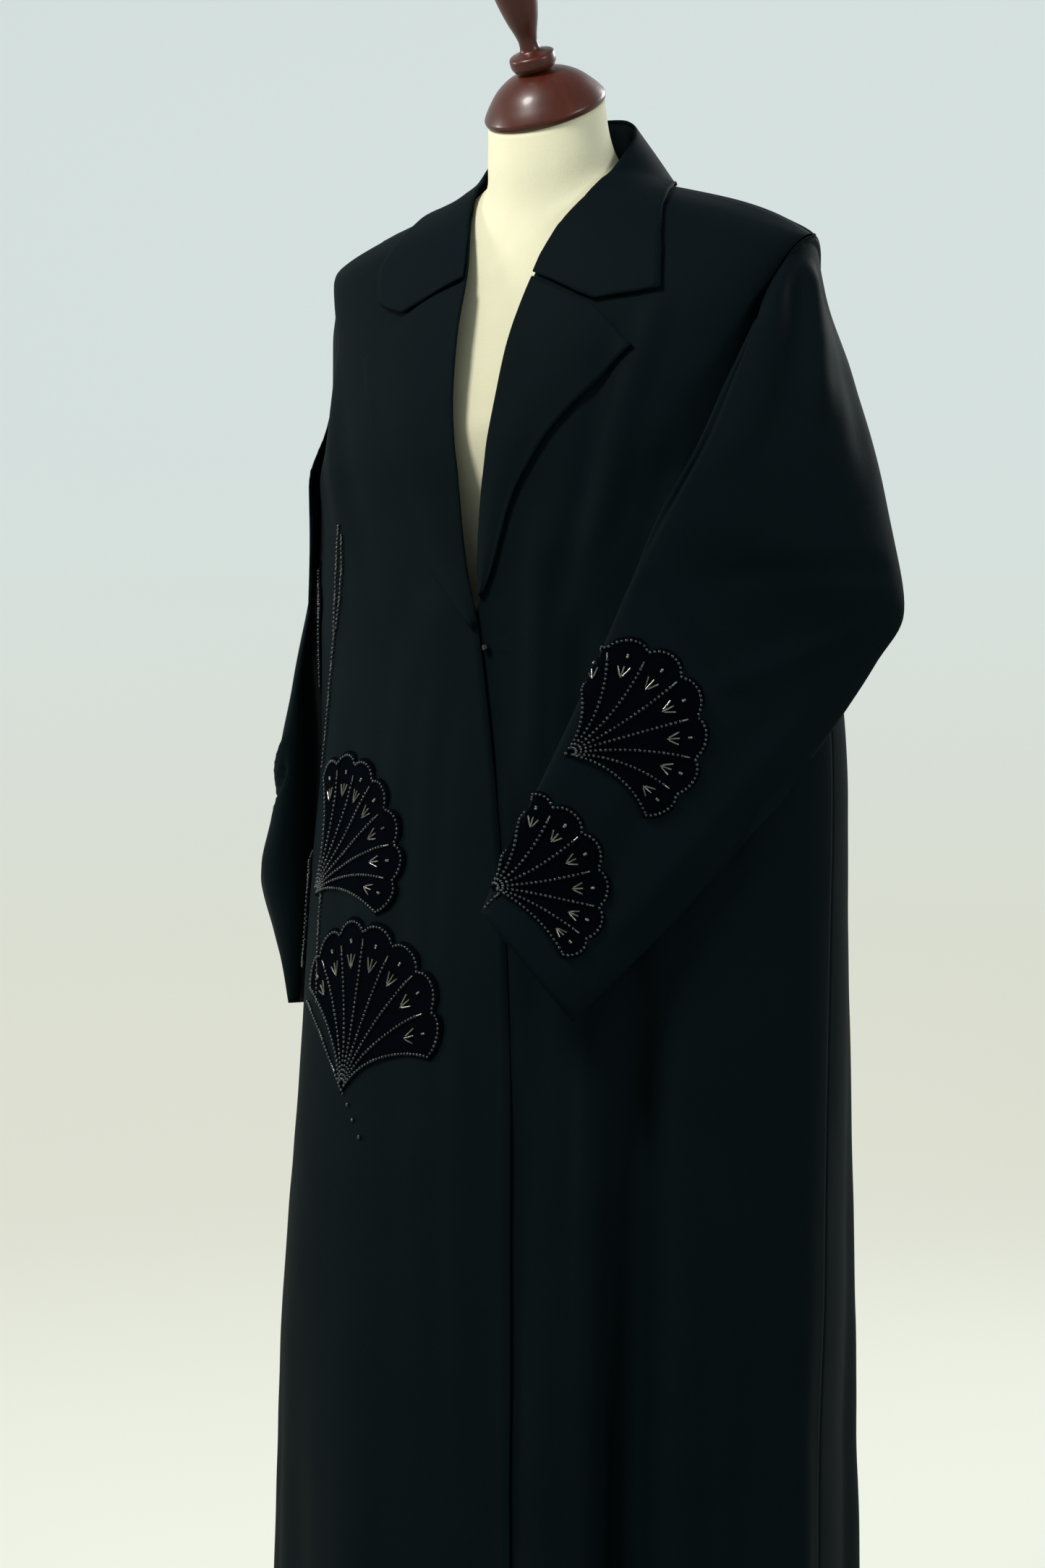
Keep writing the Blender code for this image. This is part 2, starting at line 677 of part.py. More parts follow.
def on_sleeve(across, up):
    """A place on the left sleeve: across from the front fold, up from the cuff."""
    along = 1 - up / 0.70
    degrees = arc_point(lambda turn: sleeve_point(1, LEFT_SLEEVE, along, 180 - turn), across)
    return sleeve_point(1, LEFT_SLEEVE, along, 180 - degrees)


def material(name):
    """The named material, made once."""
    found = bpy.data.materials.get(name)
    if found:
        return found
    colour, roughness, metallic = MATERIALS[name]
    made = bpy.data.materials.new(name)
    made.use_nodes = True
    shader = made.node_tree.nodes["Principled BSDF"]
    shader.inputs["Base Color"].default_value = (*colour, 1)
    shader.inputs["Roughness"].default_value = roughness
    shader.inputs["Metallic"].default_value = metallic
    made.diffuse_color = (*colour, 1)
    return made


def add_object(name, mesh, finish):
    """An object from a mesh, in the cloak's collection, shaded smooth, with its own material."""
    mesh.materials.append(material(finish).copy())
    mesh.materials[0].name = name + "_" + finish
    mesh.shade_smooth()
    made = bpy.data.objects.new(name, mesh)
    bpy.data.collections["abaya_cloak"].objects.link(made)
    return made


def grid_mesh(name, grid, closed=False, caps=False):
    """Quads between neighbouring lines of points. closed joins each line's ends."""
    mesh = bpy.data.meshes.new(name)
    body = bmesh.new()
    lines = [[body.verts.new(p) for p in line] for line in grid]
    for upper, lower in zip(lines, lines[1:]):
        for j in range(len(upper) if closed else len(upper) - 1):
            k = (j + 1) % len(upper)
            body.faces.new((upper[j], lower[j], lower[k], upper[k]))
    if caps:
        body.faces.new(lines[0])
        body.faces.new(lines[-1][::-1])
    body.to_mesh(mesh)
    body.free()
    return mesh


def add_sheet(name, grid, finish, thickness, outward=True, closed=False):
    """A wall of cloth on a grid of points, thickened out from it or in from it."""
    made = add_object(name, grid_mesh(name, grid, closed), finish)
    wall = made.modifiers.new("Wall", "SOLIDIFY")
    wall.thickness = thickness
    wall.offset = 1 if outward else -1
    return made


def add_turned(name, profile, finish, steps, location=(0, 0, 0), tilt=0.0):
    """A turned piece: profile is radius and height from the top down the outer side."""
    mesh = bpy.data.meshes.new(name)
    mesh.from_pydata([(r, 0, z) for r, z in profile], [(i, i + 1) for i in range(len(profile) - 1)], [])
    made = add_object(name, mesh, finish)
    made.location = location
    made.rotation_euler = (tilt, 0, 0)
    screw = made.modifiers.new("Turn", "SCREW")
    screw.steps = steps
    screw.render_steps = steps
    screw.use_merge_vertices = True
    screw.merge_threshold = 0.00005
    screw.use_smooth_shade = True
    return made


def form_rings(around):
    """Rings of the torso from the neck's top down."""
    rings = []
    for half, y_front, y_side, y_back, z_front, z_side, z_back, drop in FORM_RINGS:
        ring = []
        for j in range(around):
            a = 2 * math.pi * j / around
            y_end, z_end = (y_front, z_front) if math.cos(a) >= 0 else (y_back, z_back)
            y = y_side + (y_end - y_side) * abs(math.cos(a))
            z = z_side + (z_end - z_side) * abs(math.cos(a)) ** drop
            ring.append(Vector((half * math.sin(a), y, z)))
        rings.append(ring)
    return rings


def build_form():
    """The dress form and its stand. Returns a search tree of the torso."""
    rings = form_rings(28)
    add_object("form_torso", grid_mesh("form_torso", rings, closed=True, caps=True), "jersey")
    axis = Vector((0, -math.sin(NECK_TILT), math.cos(NECK_TILT)))
    top = Vector((0, NECK_TOP_Y, NECK_TOP_Z)) + axis * 0.0006
    cap = [(0.0, 0.039), (0.014, 0.0375), (0.027, 0.0325), (0.038, 0.0250), (0.047, 0.0150)]
    cap += [(0.0520, 0.0080), (0.0535, 0.0045), (CAP_RADIUS, 0.0010), (0.0515, 0.0), (0.0, 0.0)]
    add_turned("neck_cap", cap, "mahogany", 32, top, NECK_TILT)
    spindle = [(0.0, 0.142), (0.006, 0.1405), (0.0125, 0.134), (0.0180, 0.116), (0.0205, 0.094)]
    spindle += [(0.0190, 0.068), (0.0145, 0.046), (0.0095, 0.030), (0.0082, 0.022), (0.0100, 0.0155)]
    spindle += [(0.0185, 0.0125), (0.0200, 0.0085), (0.0195, 0.0035), (0.0175, 0.0), (0.0, 0.0)]
    add_turned("finial", spindle, "mahogany", 20, top + axis * 0.0393, NECK_TILT)
    pole = [(0.0, TORSO_BOTTOM_Z - 0.0004), (POLE_RADIUS, TORSO_BOTTOM_Z - 0.0004)]
    pole += [(POLE_RADIUS, BASE_HEIGHT + 0.0124), (0.0, BASE_HEIGHT + 0.0124)]
    add_turned("stand_pole", pole, "mahogany", 20)
    base = [(0.0, 0.042), (0.026, 0.042), (0.034, 0.036), (0.052, BASE_HEIGHT)]
    base += [(BASE_RADIUS - 0.020, 0.024), (BASE_RADIUS - 0.006, 0.018), (BASE_RADIUS, 0.009)]
    base += [(BASE_RADIUS - 0.004, 0.0), (0.0, 0.0)]
    add_turned("stand_base", base, "mahogany", 36)
    return tree_of([[ring + ring[:1] for ring in rings]])


def build_cloak(form):
    """All the cloth, from the panels up to what lies on them."""
    angles = [0, 7.5, *range(ARMHOLE_STEP, 181, ARMHOLE_STEP)]
    rows = [float(np.interp(angle, [line[0] for line in YOKE], range(len(YOKE)))) for angle in angles]
    rows += range(UNDERARM_ROW + 1, LAST_ROW + 1)
    fronts = {}
    for side, name in ((1, "left_front"), (-1, "right_front")):
        fronts[side] = front_grid(side, rows, 15 if side > 0 else 11, form)
        add_sheet(name, fronts[side], "crepe", CLOTH)
    back = back_grid(rows, 11, form)
    add_sheet("back", back, "crepe", CLOTH)
    body = tree_of([fronts[1], fronts[-1], back])

    alongs = (0, 0.05, 0.11, 0.18, 0.26, 0.34, 0.43, 0.50, 0.58, 0.66, 0.74, 0.83, 0.92, 1.0)
    for side, name, rings in ((1, "left_sleeve", LEFT_SLEEVE), (-1, "right_sleeve", RIGHT_SLEEVE)):
        grid = sleeve_grid(side, rings, alongs, 360 // ARMHOLE_STEP, body)
        add_sheet(name, grid, "crepe", CLOTH, outward=False, closed=True)
        if side > 0:
            sleeve = tree_of([[line + line[:1] for line in grid]])

    for side, name, lapel in ((1, "left_lapel", LEFT_LAPEL), (-1, "right_lapel", RIGHT_LAPEL)):
        add_sheet(name, lapel_grid(side, lapel, 12, 6, form, body), "crepe", CLOTH)

    places = (0.0, 0.08, 0.16, 0.26, 0.36, 0.46, 0.55, 0.64, 0.73, 0.82, 0.91, 1.0)
    half = collar_half(4, places)
    for line in half:
        for j, p in enumerate(line):
            line[j] = off(body, off(form, p, FORM_CLEARANCE + CLOTH + ROLL_LIFT), FALL_LIFT if j else FALL_FOOT)
    add_sheet("collar_fall", both_sides(half, places), "crepe", CLOTH)
    stand = []
    for place, line in zip(places, half):
        if place < STAND_START:
            continue
        top = line[0] + Vector((0, 0, -0.0012))
        inward = Vector((-top.x, -0.02 - top.y, 0)).normalized()
        top = off(form, top + inward * STAND_INSET, 0.0024)
        seam = neck_seam(place)
        stand.append([top, seam.lerp(top, 0.5), seam])
    add_sheet("collar_stand", both_sides(stand, places[-len(stand):]), "crepe", CLOTH)

    for spec in FRONT_LEAVES:
        add_sheet(spec[0], leaf_grid(spec, on_front, body, CLOTH + VELVET_LIFT), "velvet", VELVET)
    for spec in SLEEVE_LEAVES:
        add_sheet(spec[0], leaf_grid(spec, on_sleeve, sleeve, VELVET_LIFT + FOLD_EASE), "velvet", VELVET)

    bpy.ops.mesh.primitive_uv_sphere_add(segments=12, ring_count=8, radius=BUTTON_RADIUS)
    button = bpy.context.object
    button.name = "button"
    button.data.materials.append(material("black_glass"))
    button.data.shade_smooth()
    seat = front_at(1, BUTTON_X, BUTTON_Z, form)
    button.location = seat + Vector((0, -(CLOTH + SEAM + BUTTON_RADIUS), 0))
    for collection in list(button.users_collection):
        collection.objects.unlink(button)
    bpy.data.collections["abaya_cloak"].objects.link(button)


def neck_seam(place):
    """Foot of the collar stand, just above the neckline, at a place round the collar."""
    t = (place - STAND_START) / (1 - STAND_START)
    x = NECK_POINT_X * math.cos(t * math.pi / 2)
    p = neckline_point(1, x)
    p.z += STAND_RISE
    return p


def main():
    for old in list(bpy.data.objects):
        bpy.data.objects.remove(old, do_unlink=True)
    made = bpy.data.collections.new("abaya_cloak")
    bpy.context.scene.collection.children.link(made)
    build_cloak(build_form())


main()
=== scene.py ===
"""Looks of the abaya cloak on its dress form: cloth, velvet leaves, beads, wood, studio.

Metres, +Z up, in the CAD frame: +X is the garment's left and -Y its front. The cloth is made from
the same tables as the CAD panels, on finer grids, with the listed small folds added.
"""

import math

import bpy
import numpy as np
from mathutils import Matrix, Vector, noise
from mathutils.bvhtree import BVHTree


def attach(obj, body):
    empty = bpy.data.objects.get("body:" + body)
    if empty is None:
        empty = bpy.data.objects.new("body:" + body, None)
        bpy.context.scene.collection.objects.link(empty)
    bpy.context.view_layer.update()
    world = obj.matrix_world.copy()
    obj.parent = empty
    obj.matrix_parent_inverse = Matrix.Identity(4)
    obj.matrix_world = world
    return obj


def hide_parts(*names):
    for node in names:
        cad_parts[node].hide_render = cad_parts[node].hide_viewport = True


bl_info = {
    "name": "Abaya cloak on a dress form",
    "version": (1, 0, 0),
    "blender": (4, 5, 0),
    "location": "View3D > Sidebar > Cloak",
    "description": "Crepe cloak with beaded velvet leaves on a limbless dress form",
    "category": "Object",
}

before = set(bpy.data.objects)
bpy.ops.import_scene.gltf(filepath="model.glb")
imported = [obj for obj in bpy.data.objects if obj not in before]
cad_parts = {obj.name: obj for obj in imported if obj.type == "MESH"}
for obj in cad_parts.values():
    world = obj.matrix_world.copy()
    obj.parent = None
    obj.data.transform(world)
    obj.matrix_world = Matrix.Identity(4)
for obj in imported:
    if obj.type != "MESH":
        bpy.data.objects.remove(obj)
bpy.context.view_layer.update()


# Cloth and seams
CLOTH = 0.0016
SEAM = 0.0008
FORM_CLEARANCE = 0.0027
LAPEL_FOOT = 0.0024
LAPEL_LIFT = 0.0030
OVERLAP_LIFT = 0.0042
OVERLAP_X = -0.075
OVERLAP_WIDTH = 0.045
OVERLAP_Z = 1.10
OVERLAP_FADE = 0.05
SLEEVE_CLEARANCE = 0.0075
CLEARANCE_SHARE = 0.27
VELVET = 0.0012
VELVET_LIFT = 0.0005

# Cloak
HEM_Z = 0.055
NECK_POINT_X = 0.070
NECK_POINT_Z = 1.427
SHOULDER_Y = 0.010
TIP_X = 0.232
TIP_Z = 1.368
SHOULDER_PAD = 0.090
PAD_ROWS = 2.2
FOLD_SQUARENESS = 1.6
ARMHOLE_MIDDLE_Z = 1.268
RIGHT_SEAM_SHARE = 1.8
NAPE_Y = 0.058
NAPE_Z = 1.447

# Dress form and stand
NECK_TILT = math.radians(29)
NECK_TOP_Y = -0.030
NECK_TOP_Z = 1.486
CAP_RADIUS = 0.0525
TORSO_BOTTOM_Z = 0.81

# Torso rings from the neck's top down. z goes from front to side by the cosine of the way round,
# to the power drop.
# Columns: half_width, y_front, y_side, y_back, z_front, z_side, z_back, drop
FORM_RINGS = (
    (0.0515, -0.0750, -0.030, 0.0150, 1.4611, 1.4860, 1.5109, 1.0),
    (0.0530, -0.0765, -0.026, 0.0240, 1.432, 1.456, 1.478, 1.0),
    (0.0570, -0.0770, -0.015, 0.0360, 1.404, 1.438, 1.455, 1.3),
    (0.0680, -0.0800, -0.004, 0.0490, 1.384, 1.4295, 1.434, 1.7),
    (0.0980, -0.0860, 0.004, 0.0650, 1.362, 1.4145, 1.409, 2.0),
    (0.1400, -0.0950, 0.008, 0.0780, 1.335, 1.4035, 1.397, 2.0),
    (0.1780, -0.1050, 0.009, 0.0900, 1.300, 1.3910, 1.375, 2.0),
    (0.1940, -0.1150, 0.008, 0.0980, 1.262, 1.3560, 1.328, 2.0),
    (0.1930, -0.1230, 0.002, 0.1010, 1.228, 1.2900, 1.270, 2.0),
    (0.1800, -0.1260, -0.008, 0.0990, 1.195, 1.2150, 1.205, 2.0),
    (0.1600, -0.1120, -0.010, 0.0910, 1.130, 1.1300, 1.130, 2.0),
    (0.1350, -0.0950, -0.008, 0.0780, 1.045, 1.0450, 1.045, 2.0),
    (0.1580, -0.1050, -0.004, 0.0970, 0.960, 0.9600, 0.960, 2.0),
    (0.1760, -0.1120, 0.000, 0.1100, 0.880, 0.8800, 0.880, 2.0),
    (0.1720, -0.1060, 0.000, 0.1060, TORSO_BOTTOM_Z, TORSO_BOTTOM_Z, TORSO_BOTTOM_Z, 2.0),
)

# Upper rows of the panels. angle runs down the armhole from the shoulder tip, and y, z are the
# row's place on the centre line, where the row would cross it.
YOKE_COLUMNS = "angle y_front z_front y_back z_back".split()
YOKE = (
    (0, SHOULDER_Y, 1.450, NAPE_Y, NAPE_Z),
    (12, -0.034, 1.438, 0.074, 1.436),
    (30, -0.072, 1.403, 0.092, 1.412),
    (60, -0.101, 1.358, 0.110, 1.370),
    (90, -0.123, 1.302, 0.119, 1.315),
    (120, -0.136, 1.245, 0.123, 1.255),
    (150, -0.142, 1.200, 0.125, 1.205),
    (180, -0.144, 1.160, 0.126, 1.162),
)

# Level rows from below the underarm to the hem
LEVELS_COLUMNS = "z x_middle half_width y_side y_front y_back".split()
LEVELS = (
    (1.115, 0.006, 0.234, -0.006, -0.145, 0.129),
    (1.060, 0.010, 0.239, -0.008, -0.146, 0.135),
    (1.000, 0.015, 0.242, -0.010, -0.149, 0.143),
    (0.930, 0.018, 0.244, -0.012, -0.153, 0.152),
    (0.860, 0.016, 0.247, -0.014, -0.157, 0.160),
    (0.780, 0.013, 0.249, -0.016, -0.161, 0.168),
    (0.690, 0.010, 0.251, -0.018, -0.165, 0.175),
    (0.590, 0.006, 0.254, -0.020, -0.170, 0.182),
    (0.480, 0.003, 0.257, -0.023, -0.175, 0.189),
    (0.370, 0.001, 0.256, -0.026, -0.180, 0.193),
    (0.260, 0.001, 0.256, -0.028, -0.184, 0.195),
    (0.150, 0.001, 0.257, -0.030, -0.187, 0.198),
    (HEM_Z, 0.001, 0.259, -0.032, -0.190, 0.202),
)

# Front edges: the roll line of each lapel above the button, the free edge below it
EDGE_COLUMNS = "z x_left x_right".split()
EDGE = (
    (NECK_POINT_Z, NECK_POINT_X, -NECK_POINT_X),
    (1.400, 0.055, -0.054),
    (1.347, 0.038, -0.034),
    (1.281, 0.024, -0.030),
    (1.223, 0.016, -0.027),
    (1.166, 0.008, -0.019),
    (1.093, 0.004, -0.009),
    (1.062, 0.005, 0.000),
    (1.035, -0.008, 0.007),
    (1.000, -0.018, 0.013),
    (0.900, -0.014, 0.029),
    (0.730, -0.002, 0.045),
    (0.500, 0.004, 0.052),
    (0.250, 0.010, 0.059),
    (HEM_Z, 0.014, 0.063),
)

# Folds of the skirt: degrees round from the centre, half width in degrees, how far out at the
# hem (in if below 0), and the height where each fold begins
# Columns: panel, angle, half_angle, depth, z_top
FOLDS = (
    ("left_front", 19, 10, 0.013, 0.80),
    ("left_front", 33, 8, -0.040, 0.86),
    ("left_front", 46, 8, 0.012, 0.78),
    ("left_front", 64, 10, -0.008, 0.70),
    ("left_front", 80, 10, 0.006, 0.80),
    ("right_front", 22, 16, 0.008, 0.70),
    ("right_front", 48, 14, -0.007, 0.55),
    ("right_front", 74, 12, 0.008, 0.60),
    ("back", 0, 13, -0.020, 1.10),
    ("back", 20, 12, 0.020, 1.05),
    ("back", 41, 11, -0.022, 0.95),
    ("back", 62, 11, 0.016, 0.90),
    ("back", -20, 12, 0.020, 1.05),
    ("back", -41, 11, -0.020, 0.95),
    ("back", -62, 11, 0.015, 0.90),
)

UNDERARM_ROW = len(YOKE) - 1
FOLD_GROWTH = 0.8
# Rounds of the searches for a front's edge and for a place on it
EDGE_ROUNDS = 12
PLACE_ROUNDS = 30
ARMHOLE_STEP = 3

# Sleeve rings: how far along, then the back fold, the outer face, the front fold and the face
# towards the body. Ring 0 is the armhole, and X is away from the body on both sleeves.
ARMHOLE = (
    (0.208, 0.060, 1.268),
    (TIP_X, SHOULDER_Y, TIP_Z),
    (0.209, -0.050, 1.264),
    (0.233, -0.004, 1.168),
)
RIGHT_ARMHOLE = (
    (0.204, 0.060, 1.268),
    (TIP_X, SHOULDER_Y, TIP_Z),
    (0.195, -0.050, 1.264),
    (0.228, -0.006, 1.168),
)
LEFT_SLEEVE = (
    (0.00, *ARMHOLE),
    (0.08, (0.220, 0.060, 1.248), (0.241, 0.004, 1.329), (0.220, -0.070, 1.270), (0.246, -0.004, 1.155)),
    (0.20, (0.248, 0.060, 1.200), (0.264, -0.020, 1.260), (0.214, -0.104, 1.228), (0.251, -0.008, 1.128)),
    (0.32, (0.284, 0.043, 1.132), (0.281, -0.048, 1.182), (0.200, -0.134, 1.174), (0.256, -0.026, 1.100)),
    (0.43, (0.318, 0.012, 1.052), (0.268, -0.088, 1.108), (0.176, -0.152, 1.120), (0.250, -0.052, 1.078)),
    (0.51, (0.301, -0.008, 1.008), (0.240, -0.106, 1.050), (0.158, -0.163, 1.072), (0.228, -0.076, 1.030)),
    (0.62, (0.264, -0.054, 0.929), (0.208, -0.136, 0.972), (0.133, -0.181, 1.004), (0.190, -0.110, 0.962)),
    (0.75, (0.220, -0.103, 0.853), (0.172, -0.168, 0.892), (0.107, -0.203, 0.930), (0.156, -0.142, 0.884)),
    (0.88, (0.170, -0.152, 0.780), (0.132, -0.198, 0.816), (0.080, -0.221, 0.862), (0.120, -0.176, 0.814)),
    (1.00, (0.125, -0.199, 0.719), (0.102, -0.230, 0.762), (0.062, -0.237, 0.8075), (0.087, -0.205, 0.764)),
)
RIGHT_SLEEVE = (
    (0.00, *RIGHT_ARMHOLE),
    (0.08, (0.220, 0.070, 1.242), (0.236, 0.010, 1.322), (0.198, -0.057, 1.248), (0.240, -0.002, 1.150)),
    (0.20, (0.228, 0.082, 1.185), (0.238, 0.012, 1.238), (0.203, -0.060, 1.190), (0.238, 0.006, 1.130)),
    (0.36, (0.238, 0.096, 1.090), (0.248, 0.014, 1.110), (0.220, -0.060, 1.090), (0.236, 0.012, 1.080)),
    (0.50, (0.252, 0.104, 0.998), (0.268, 0.018, 1.004), (0.239, -0.062, 0.998), (0.236, 0.018, 0.996)),
    (0.60, (0.266, 0.108, 0.930), (0.290, 0.020, 0.926), (0.250, -0.062, 0.930), (0.236, 0.020, 0.930)),
    (0.66, (0.272, 0.108, 0.892), (0.294, 0.020, 0.884), (0.256, -0.060, 0.890), (0.238, 0.020, 0.890)),
    (0.74, (0.276, 0.104, 0.840), (0.306, 0.014, 0.834), (0.264, -0.058, 0.838), (0.240, 0.020, 0.838)),
    (0.86, (0.266, 0.088, 0.780), (0.290, 0.008, 0.778), (0.256, -0.054, 0.780), (0.240, 0.014, 0.780)),
    (1.00, (0.254, 0.070, 0.716), (0.266, 0.004, 0.714), (0.252, -0.050, 0.716), (0.241, 0.008, 0.717)),
)

# Lapels: height on the roll line, then the outer edge's height and place. The last row runs
# along the seam to the collar, out to the notch.
# Columns: z_roll, z_outer, x_outer
LEFT_LAPEL = (
    (1.066, 1.068, 0.0105),
    (1.100, 1.092, 0.0200),
    (1.160, 1.150, 0.0370),
    (1.210, 1.196, 0.0640),
    (1.250, 1.232, 0.0960),
    (1.290, 1.268, 0.1320),
    (1.332, 1.3065, 0.0900),
)
RIGHT_LAPEL = (
    (1.040, 1.040, 0.0010),
    (1.100, 1.095, -0.0465),
    (1.160, 1.155, -0.0840),
    (1.205, 1.198, -0.1080),
    (1.250, 1.236, -0.1250),
    (1.290, 1.273, -0.1350),
    (1.332, 1.3065, -0.0900),
)

# Collar, from its seam with the lapel round to the centre back. side is the fraction of the way
# round; the roll edge and the outer edge are points on the garment's left.
COLLAR_COLUMNS = "side x_roll y_roll z_roll x_outer y_outer z_outer".split()
COLLAR = (
    (0.00, 0.0340, -0.092, 1.3290, 0.0900, -0.094, 1.3045),
    (0.08, 0.0370, -0.090, 1.3450, 0.1450, -0.088, 1.3150),
    (0.24, 0.0450, -0.076, 1.3730, 0.1350, -0.066, 1.3500),
    (0.40, 0.0570, -0.052, 1.4030, 0.1200, -0.038, 1.3800),
    (0.55, 0.0680, -0.020, 1.4380, 0.1050, 0.004, 1.4120),
    (0.70, 0.0640, 0.014, 1.4650, 0.0870, 0.040, 1.4250),
    (0.85, 0.0400, 0.042, 1.4830, 0.0550, 0.067, 1.4290),
    (1.00, 0.0000, 0.052, 1.4880, 0.0000, 0.078, 1.4280),
)
RIGHT_CORNER = ((0.0, 1.0), (0.08, 0.83), (0.24, 1.0))
FALL_FOOT = 0.0037
FALL_LIFT = 0.0044
FALL_BULGE = 0.05
FALL_ROUND = 0.001
BULGE_START = 0.3
BULGE_SPAN = 0.4
ROLL_LIFT = 0.0010
STAND_START = 0.64
STAND_RISE = 0.0056
STAND_INSET = 0.0020

# Velvet leaves. On the front: place of the stem end round the panel from the centre, and its
# height. On the sleeve: how far from the front fold towards the back, and how far up from the cuff.
# turn is degrees from straight up towards the front edge or the back fold.
# Columns: name, across, up, turn, spread, length
FRONT_LEAVES = (
    ("leaf_front_low", 0.148, 0.640, 17, 53, 0.159),
    ("leaf_front_middle", 0.221, 0.808, 49, 46, 0.153),
    ("leaf_front_side", 0.250, 0.742, -42, 46, 0.130),
    ("leaf_front_top", 0.262, 0.985, -12, 34, 0.130),
)
SLEEVE_LEAVES = (
    ("leaf_sleeve_low", 0.000, 0.026, 33, 53, 0.127),
    ("leaf_sleeve_upper", 0.008, 0.179, 40, 58, 0.129),
    ("leaf_sleeve_fold", 0.000, 0.196, -66, 36, 0.095),
)
LEAF_LOBES = 7
LEAF_SCALLOP = 0.07
LEAF_CURL = 0.55
LEAF_NARROWING = 0.28
LEAF_LEANING = 0.03


def table(rows, names):
    """The rows as one array for each column."""
    return {name: np.array([row[i] for row in rows]) for i, name in enumerate(names)}


def smooth(known_at, values, at):
    """values, one row for each place in known_at, read at another place by a Hermite curve."""
    values = np.asarray(values, float)
    k = int(np.clip(np.searchsorted(known_at, at) - 1, 0, len(known_at) - 2))
    slopes = []
    for i in (k, k + 1):
        low = max(i - 1, 0)
        high = min(i + 1, len(known_at) - 1)
        slopes.append((values[high] - values[low]) / (known_at[high] - known_at[low]))
    step = known_at[k + 1] - known_at[k]
    t = (at - known_at[k]) / step
    return (
        values[k] * (1 + 2 * t) * (1 - t) ** 2
        + slopes[0] * step * t * (1 - t) ** 2
        + values[k + 1] * t * t * (3 - 2 * t)
        + slopes[1] * step * t * t * (t - 1)
    )


def ease(x):
    """0 to 1 with level ends."""
    x = min(max(x, 0.0), 1.0)
    return x * x * (3 - 2 * x)


def ring_point(keys, degrees):
    """A closed smooth ring through four points: at 0, 90, 180 and 270 degrees."""
    back, outer, front, inner = (np.array(key) for key in keys)
    a = math.radians(degrees)
    return (
        (back + outer + front + inner) / 4
        + (back - front) / 2 * math.cos(a)
        + (outer - inner) / 2 * math.sin(a)
        + (back + front - outer - inner) / 4 * math.cos(2 * a)
    )


def edge_x(side, z):
    """The front edge's X at a height, on the left (+1) or right (-1) front."""
    edge = table(EDGE, EDGE_COLUMNS)
    column = edge["x_left"] if side > 0 else edge["x_right"]
    return float(smooth(-edge["z"], column, -z))


def armhole_point(face, side, row):
    """Where a row of the yoke meets the armhole: on the straight line between the sleeve's points."""
    angle = float(np.interp(row, range(len(YOKE)), [line[0] for line in YOKE]))
    low = ARMHOLE_STEP * math.floor(angle / ARMHOLE_STEP + 1e-6)
    t = (angle - low) / ARMHOLE_STEP
    way = 1 if face == "front" else -1
    keys = ARMHOLE if side > 0 else RIGHT_ARMHOLE
    ends = [ring_point(keys, 90 + way * a) for a in (low, low + ARMHOLE_STEP)]
    return ends[0] * (1 - t) + ends[1] * t


def panel_rows(face, side):
    """Each row of a half panel as: middle X, half width, outer Y, outer Z, centre Y, centre Z."""
    yoke = table(YOKE, YOKE_COLUMNS)
    levels = table(LEVELS, LEVELS_COLUMNS)
    rows = []
    for i in range(len(YOKE)):
        x, y, z = armhole_point(face, side, i)
        rows.append((0.0, x, y, z, yoke["y_" + face][i], yoke["z_" + face][i]))
    for i, z in enumerate(levels["z"]):
        middle, half, y_side = (levels[name][i] for name in ("x_middle", "half_width", "y_side"))
        rows.append((middle, half, y_side, z, levels["y_" + face][i], z))
    return np.array(rows)


ROWS = {(face, side): panel_rows(face, side) for face in ("front", "back") for side in (1, -1)}
LAST_ROW = len(ROWS["front", 1]) - 1


def fold_depth(panel, degrees, z):
    """How far the panel's folds carry it out at this place."""
    depth = 0.0
    for name, angle, half, most, z_top in FOLDS:
        away = abs(degrees - angle) / half
        if name == panel and away < 1 and z < z_top:
            growth = ease((z_top - z) / (z_top - HEM_Z)) ** FOLD_GROWTH
            depth += most * growth * math.cos(away * math.pi / 2) ** 2
    return depth


def section_point(face, side, row, degrees):
    """A point of the body of the cloak. degrees go from the centre line, 0, to the side, 90."""
    values = smooth(np.arange(LAST_ROW + 1), ROWS[face, side], row)
    middle, half, y_side, z_side, y_centre, z_centre = values
    if row <= UNDERARM_ROW:
        middle = 0.0
        half, y_side, z_side = armhole_point(face, side, row)
    a = math.radians(degrees)
    x = half * math.sin(a)
    y = y_side + (y_centre - y_side) * math.cos(a)
    z = z_side + (z_centre - z_side) * (1 - abs(x) / half)
    if face == "back":
        out = fold_depth("back", degrees * side, z)
    else:
        out = fold_depth("left_front" if side * degrees > 0 else "right_front", abs(degrees), z)
    away = np.array([x, (y - y_side) * FOLD_SQUARENESS])
    away = away / (np.linalg.norm(away) + 1e-9)
    return Vector((middle + side * (x + out * away[0]), y + out * away[1], z + pad_rise(row, abs(x))))


def pad_rise(row, x):
    """What the shoulder pad adds to the height, most near the armhole and none below its last row."""
    t = x / TIP_X
    return SHOULDER_PAD * t**3 * max(0.0, 1 - t) * max(0.0, 1 - row / PAD_ROWS) ** 2


def front_angle(side, row, x):
    """Degrees round at which the front reaches this X."""
    middle, half = smooth(np.arange(LAST_ROW + 1), ROWS["front", side], row)[:2]
    return math.degrees(math.asin(float(np.clip(side * (x - middle) / half, -0.99, 0.99))))


def edge_angle(side, row):
    """Degrees round of the front edge on this row, whose height depends on its X."""
    degrees = 10.0
    for _ in range(EDGE_ROUNDS):
        z = section_point("front", side, row, degrees).z
        degrees = front_angle(side, row, edge_x(side, z))
    return degrees


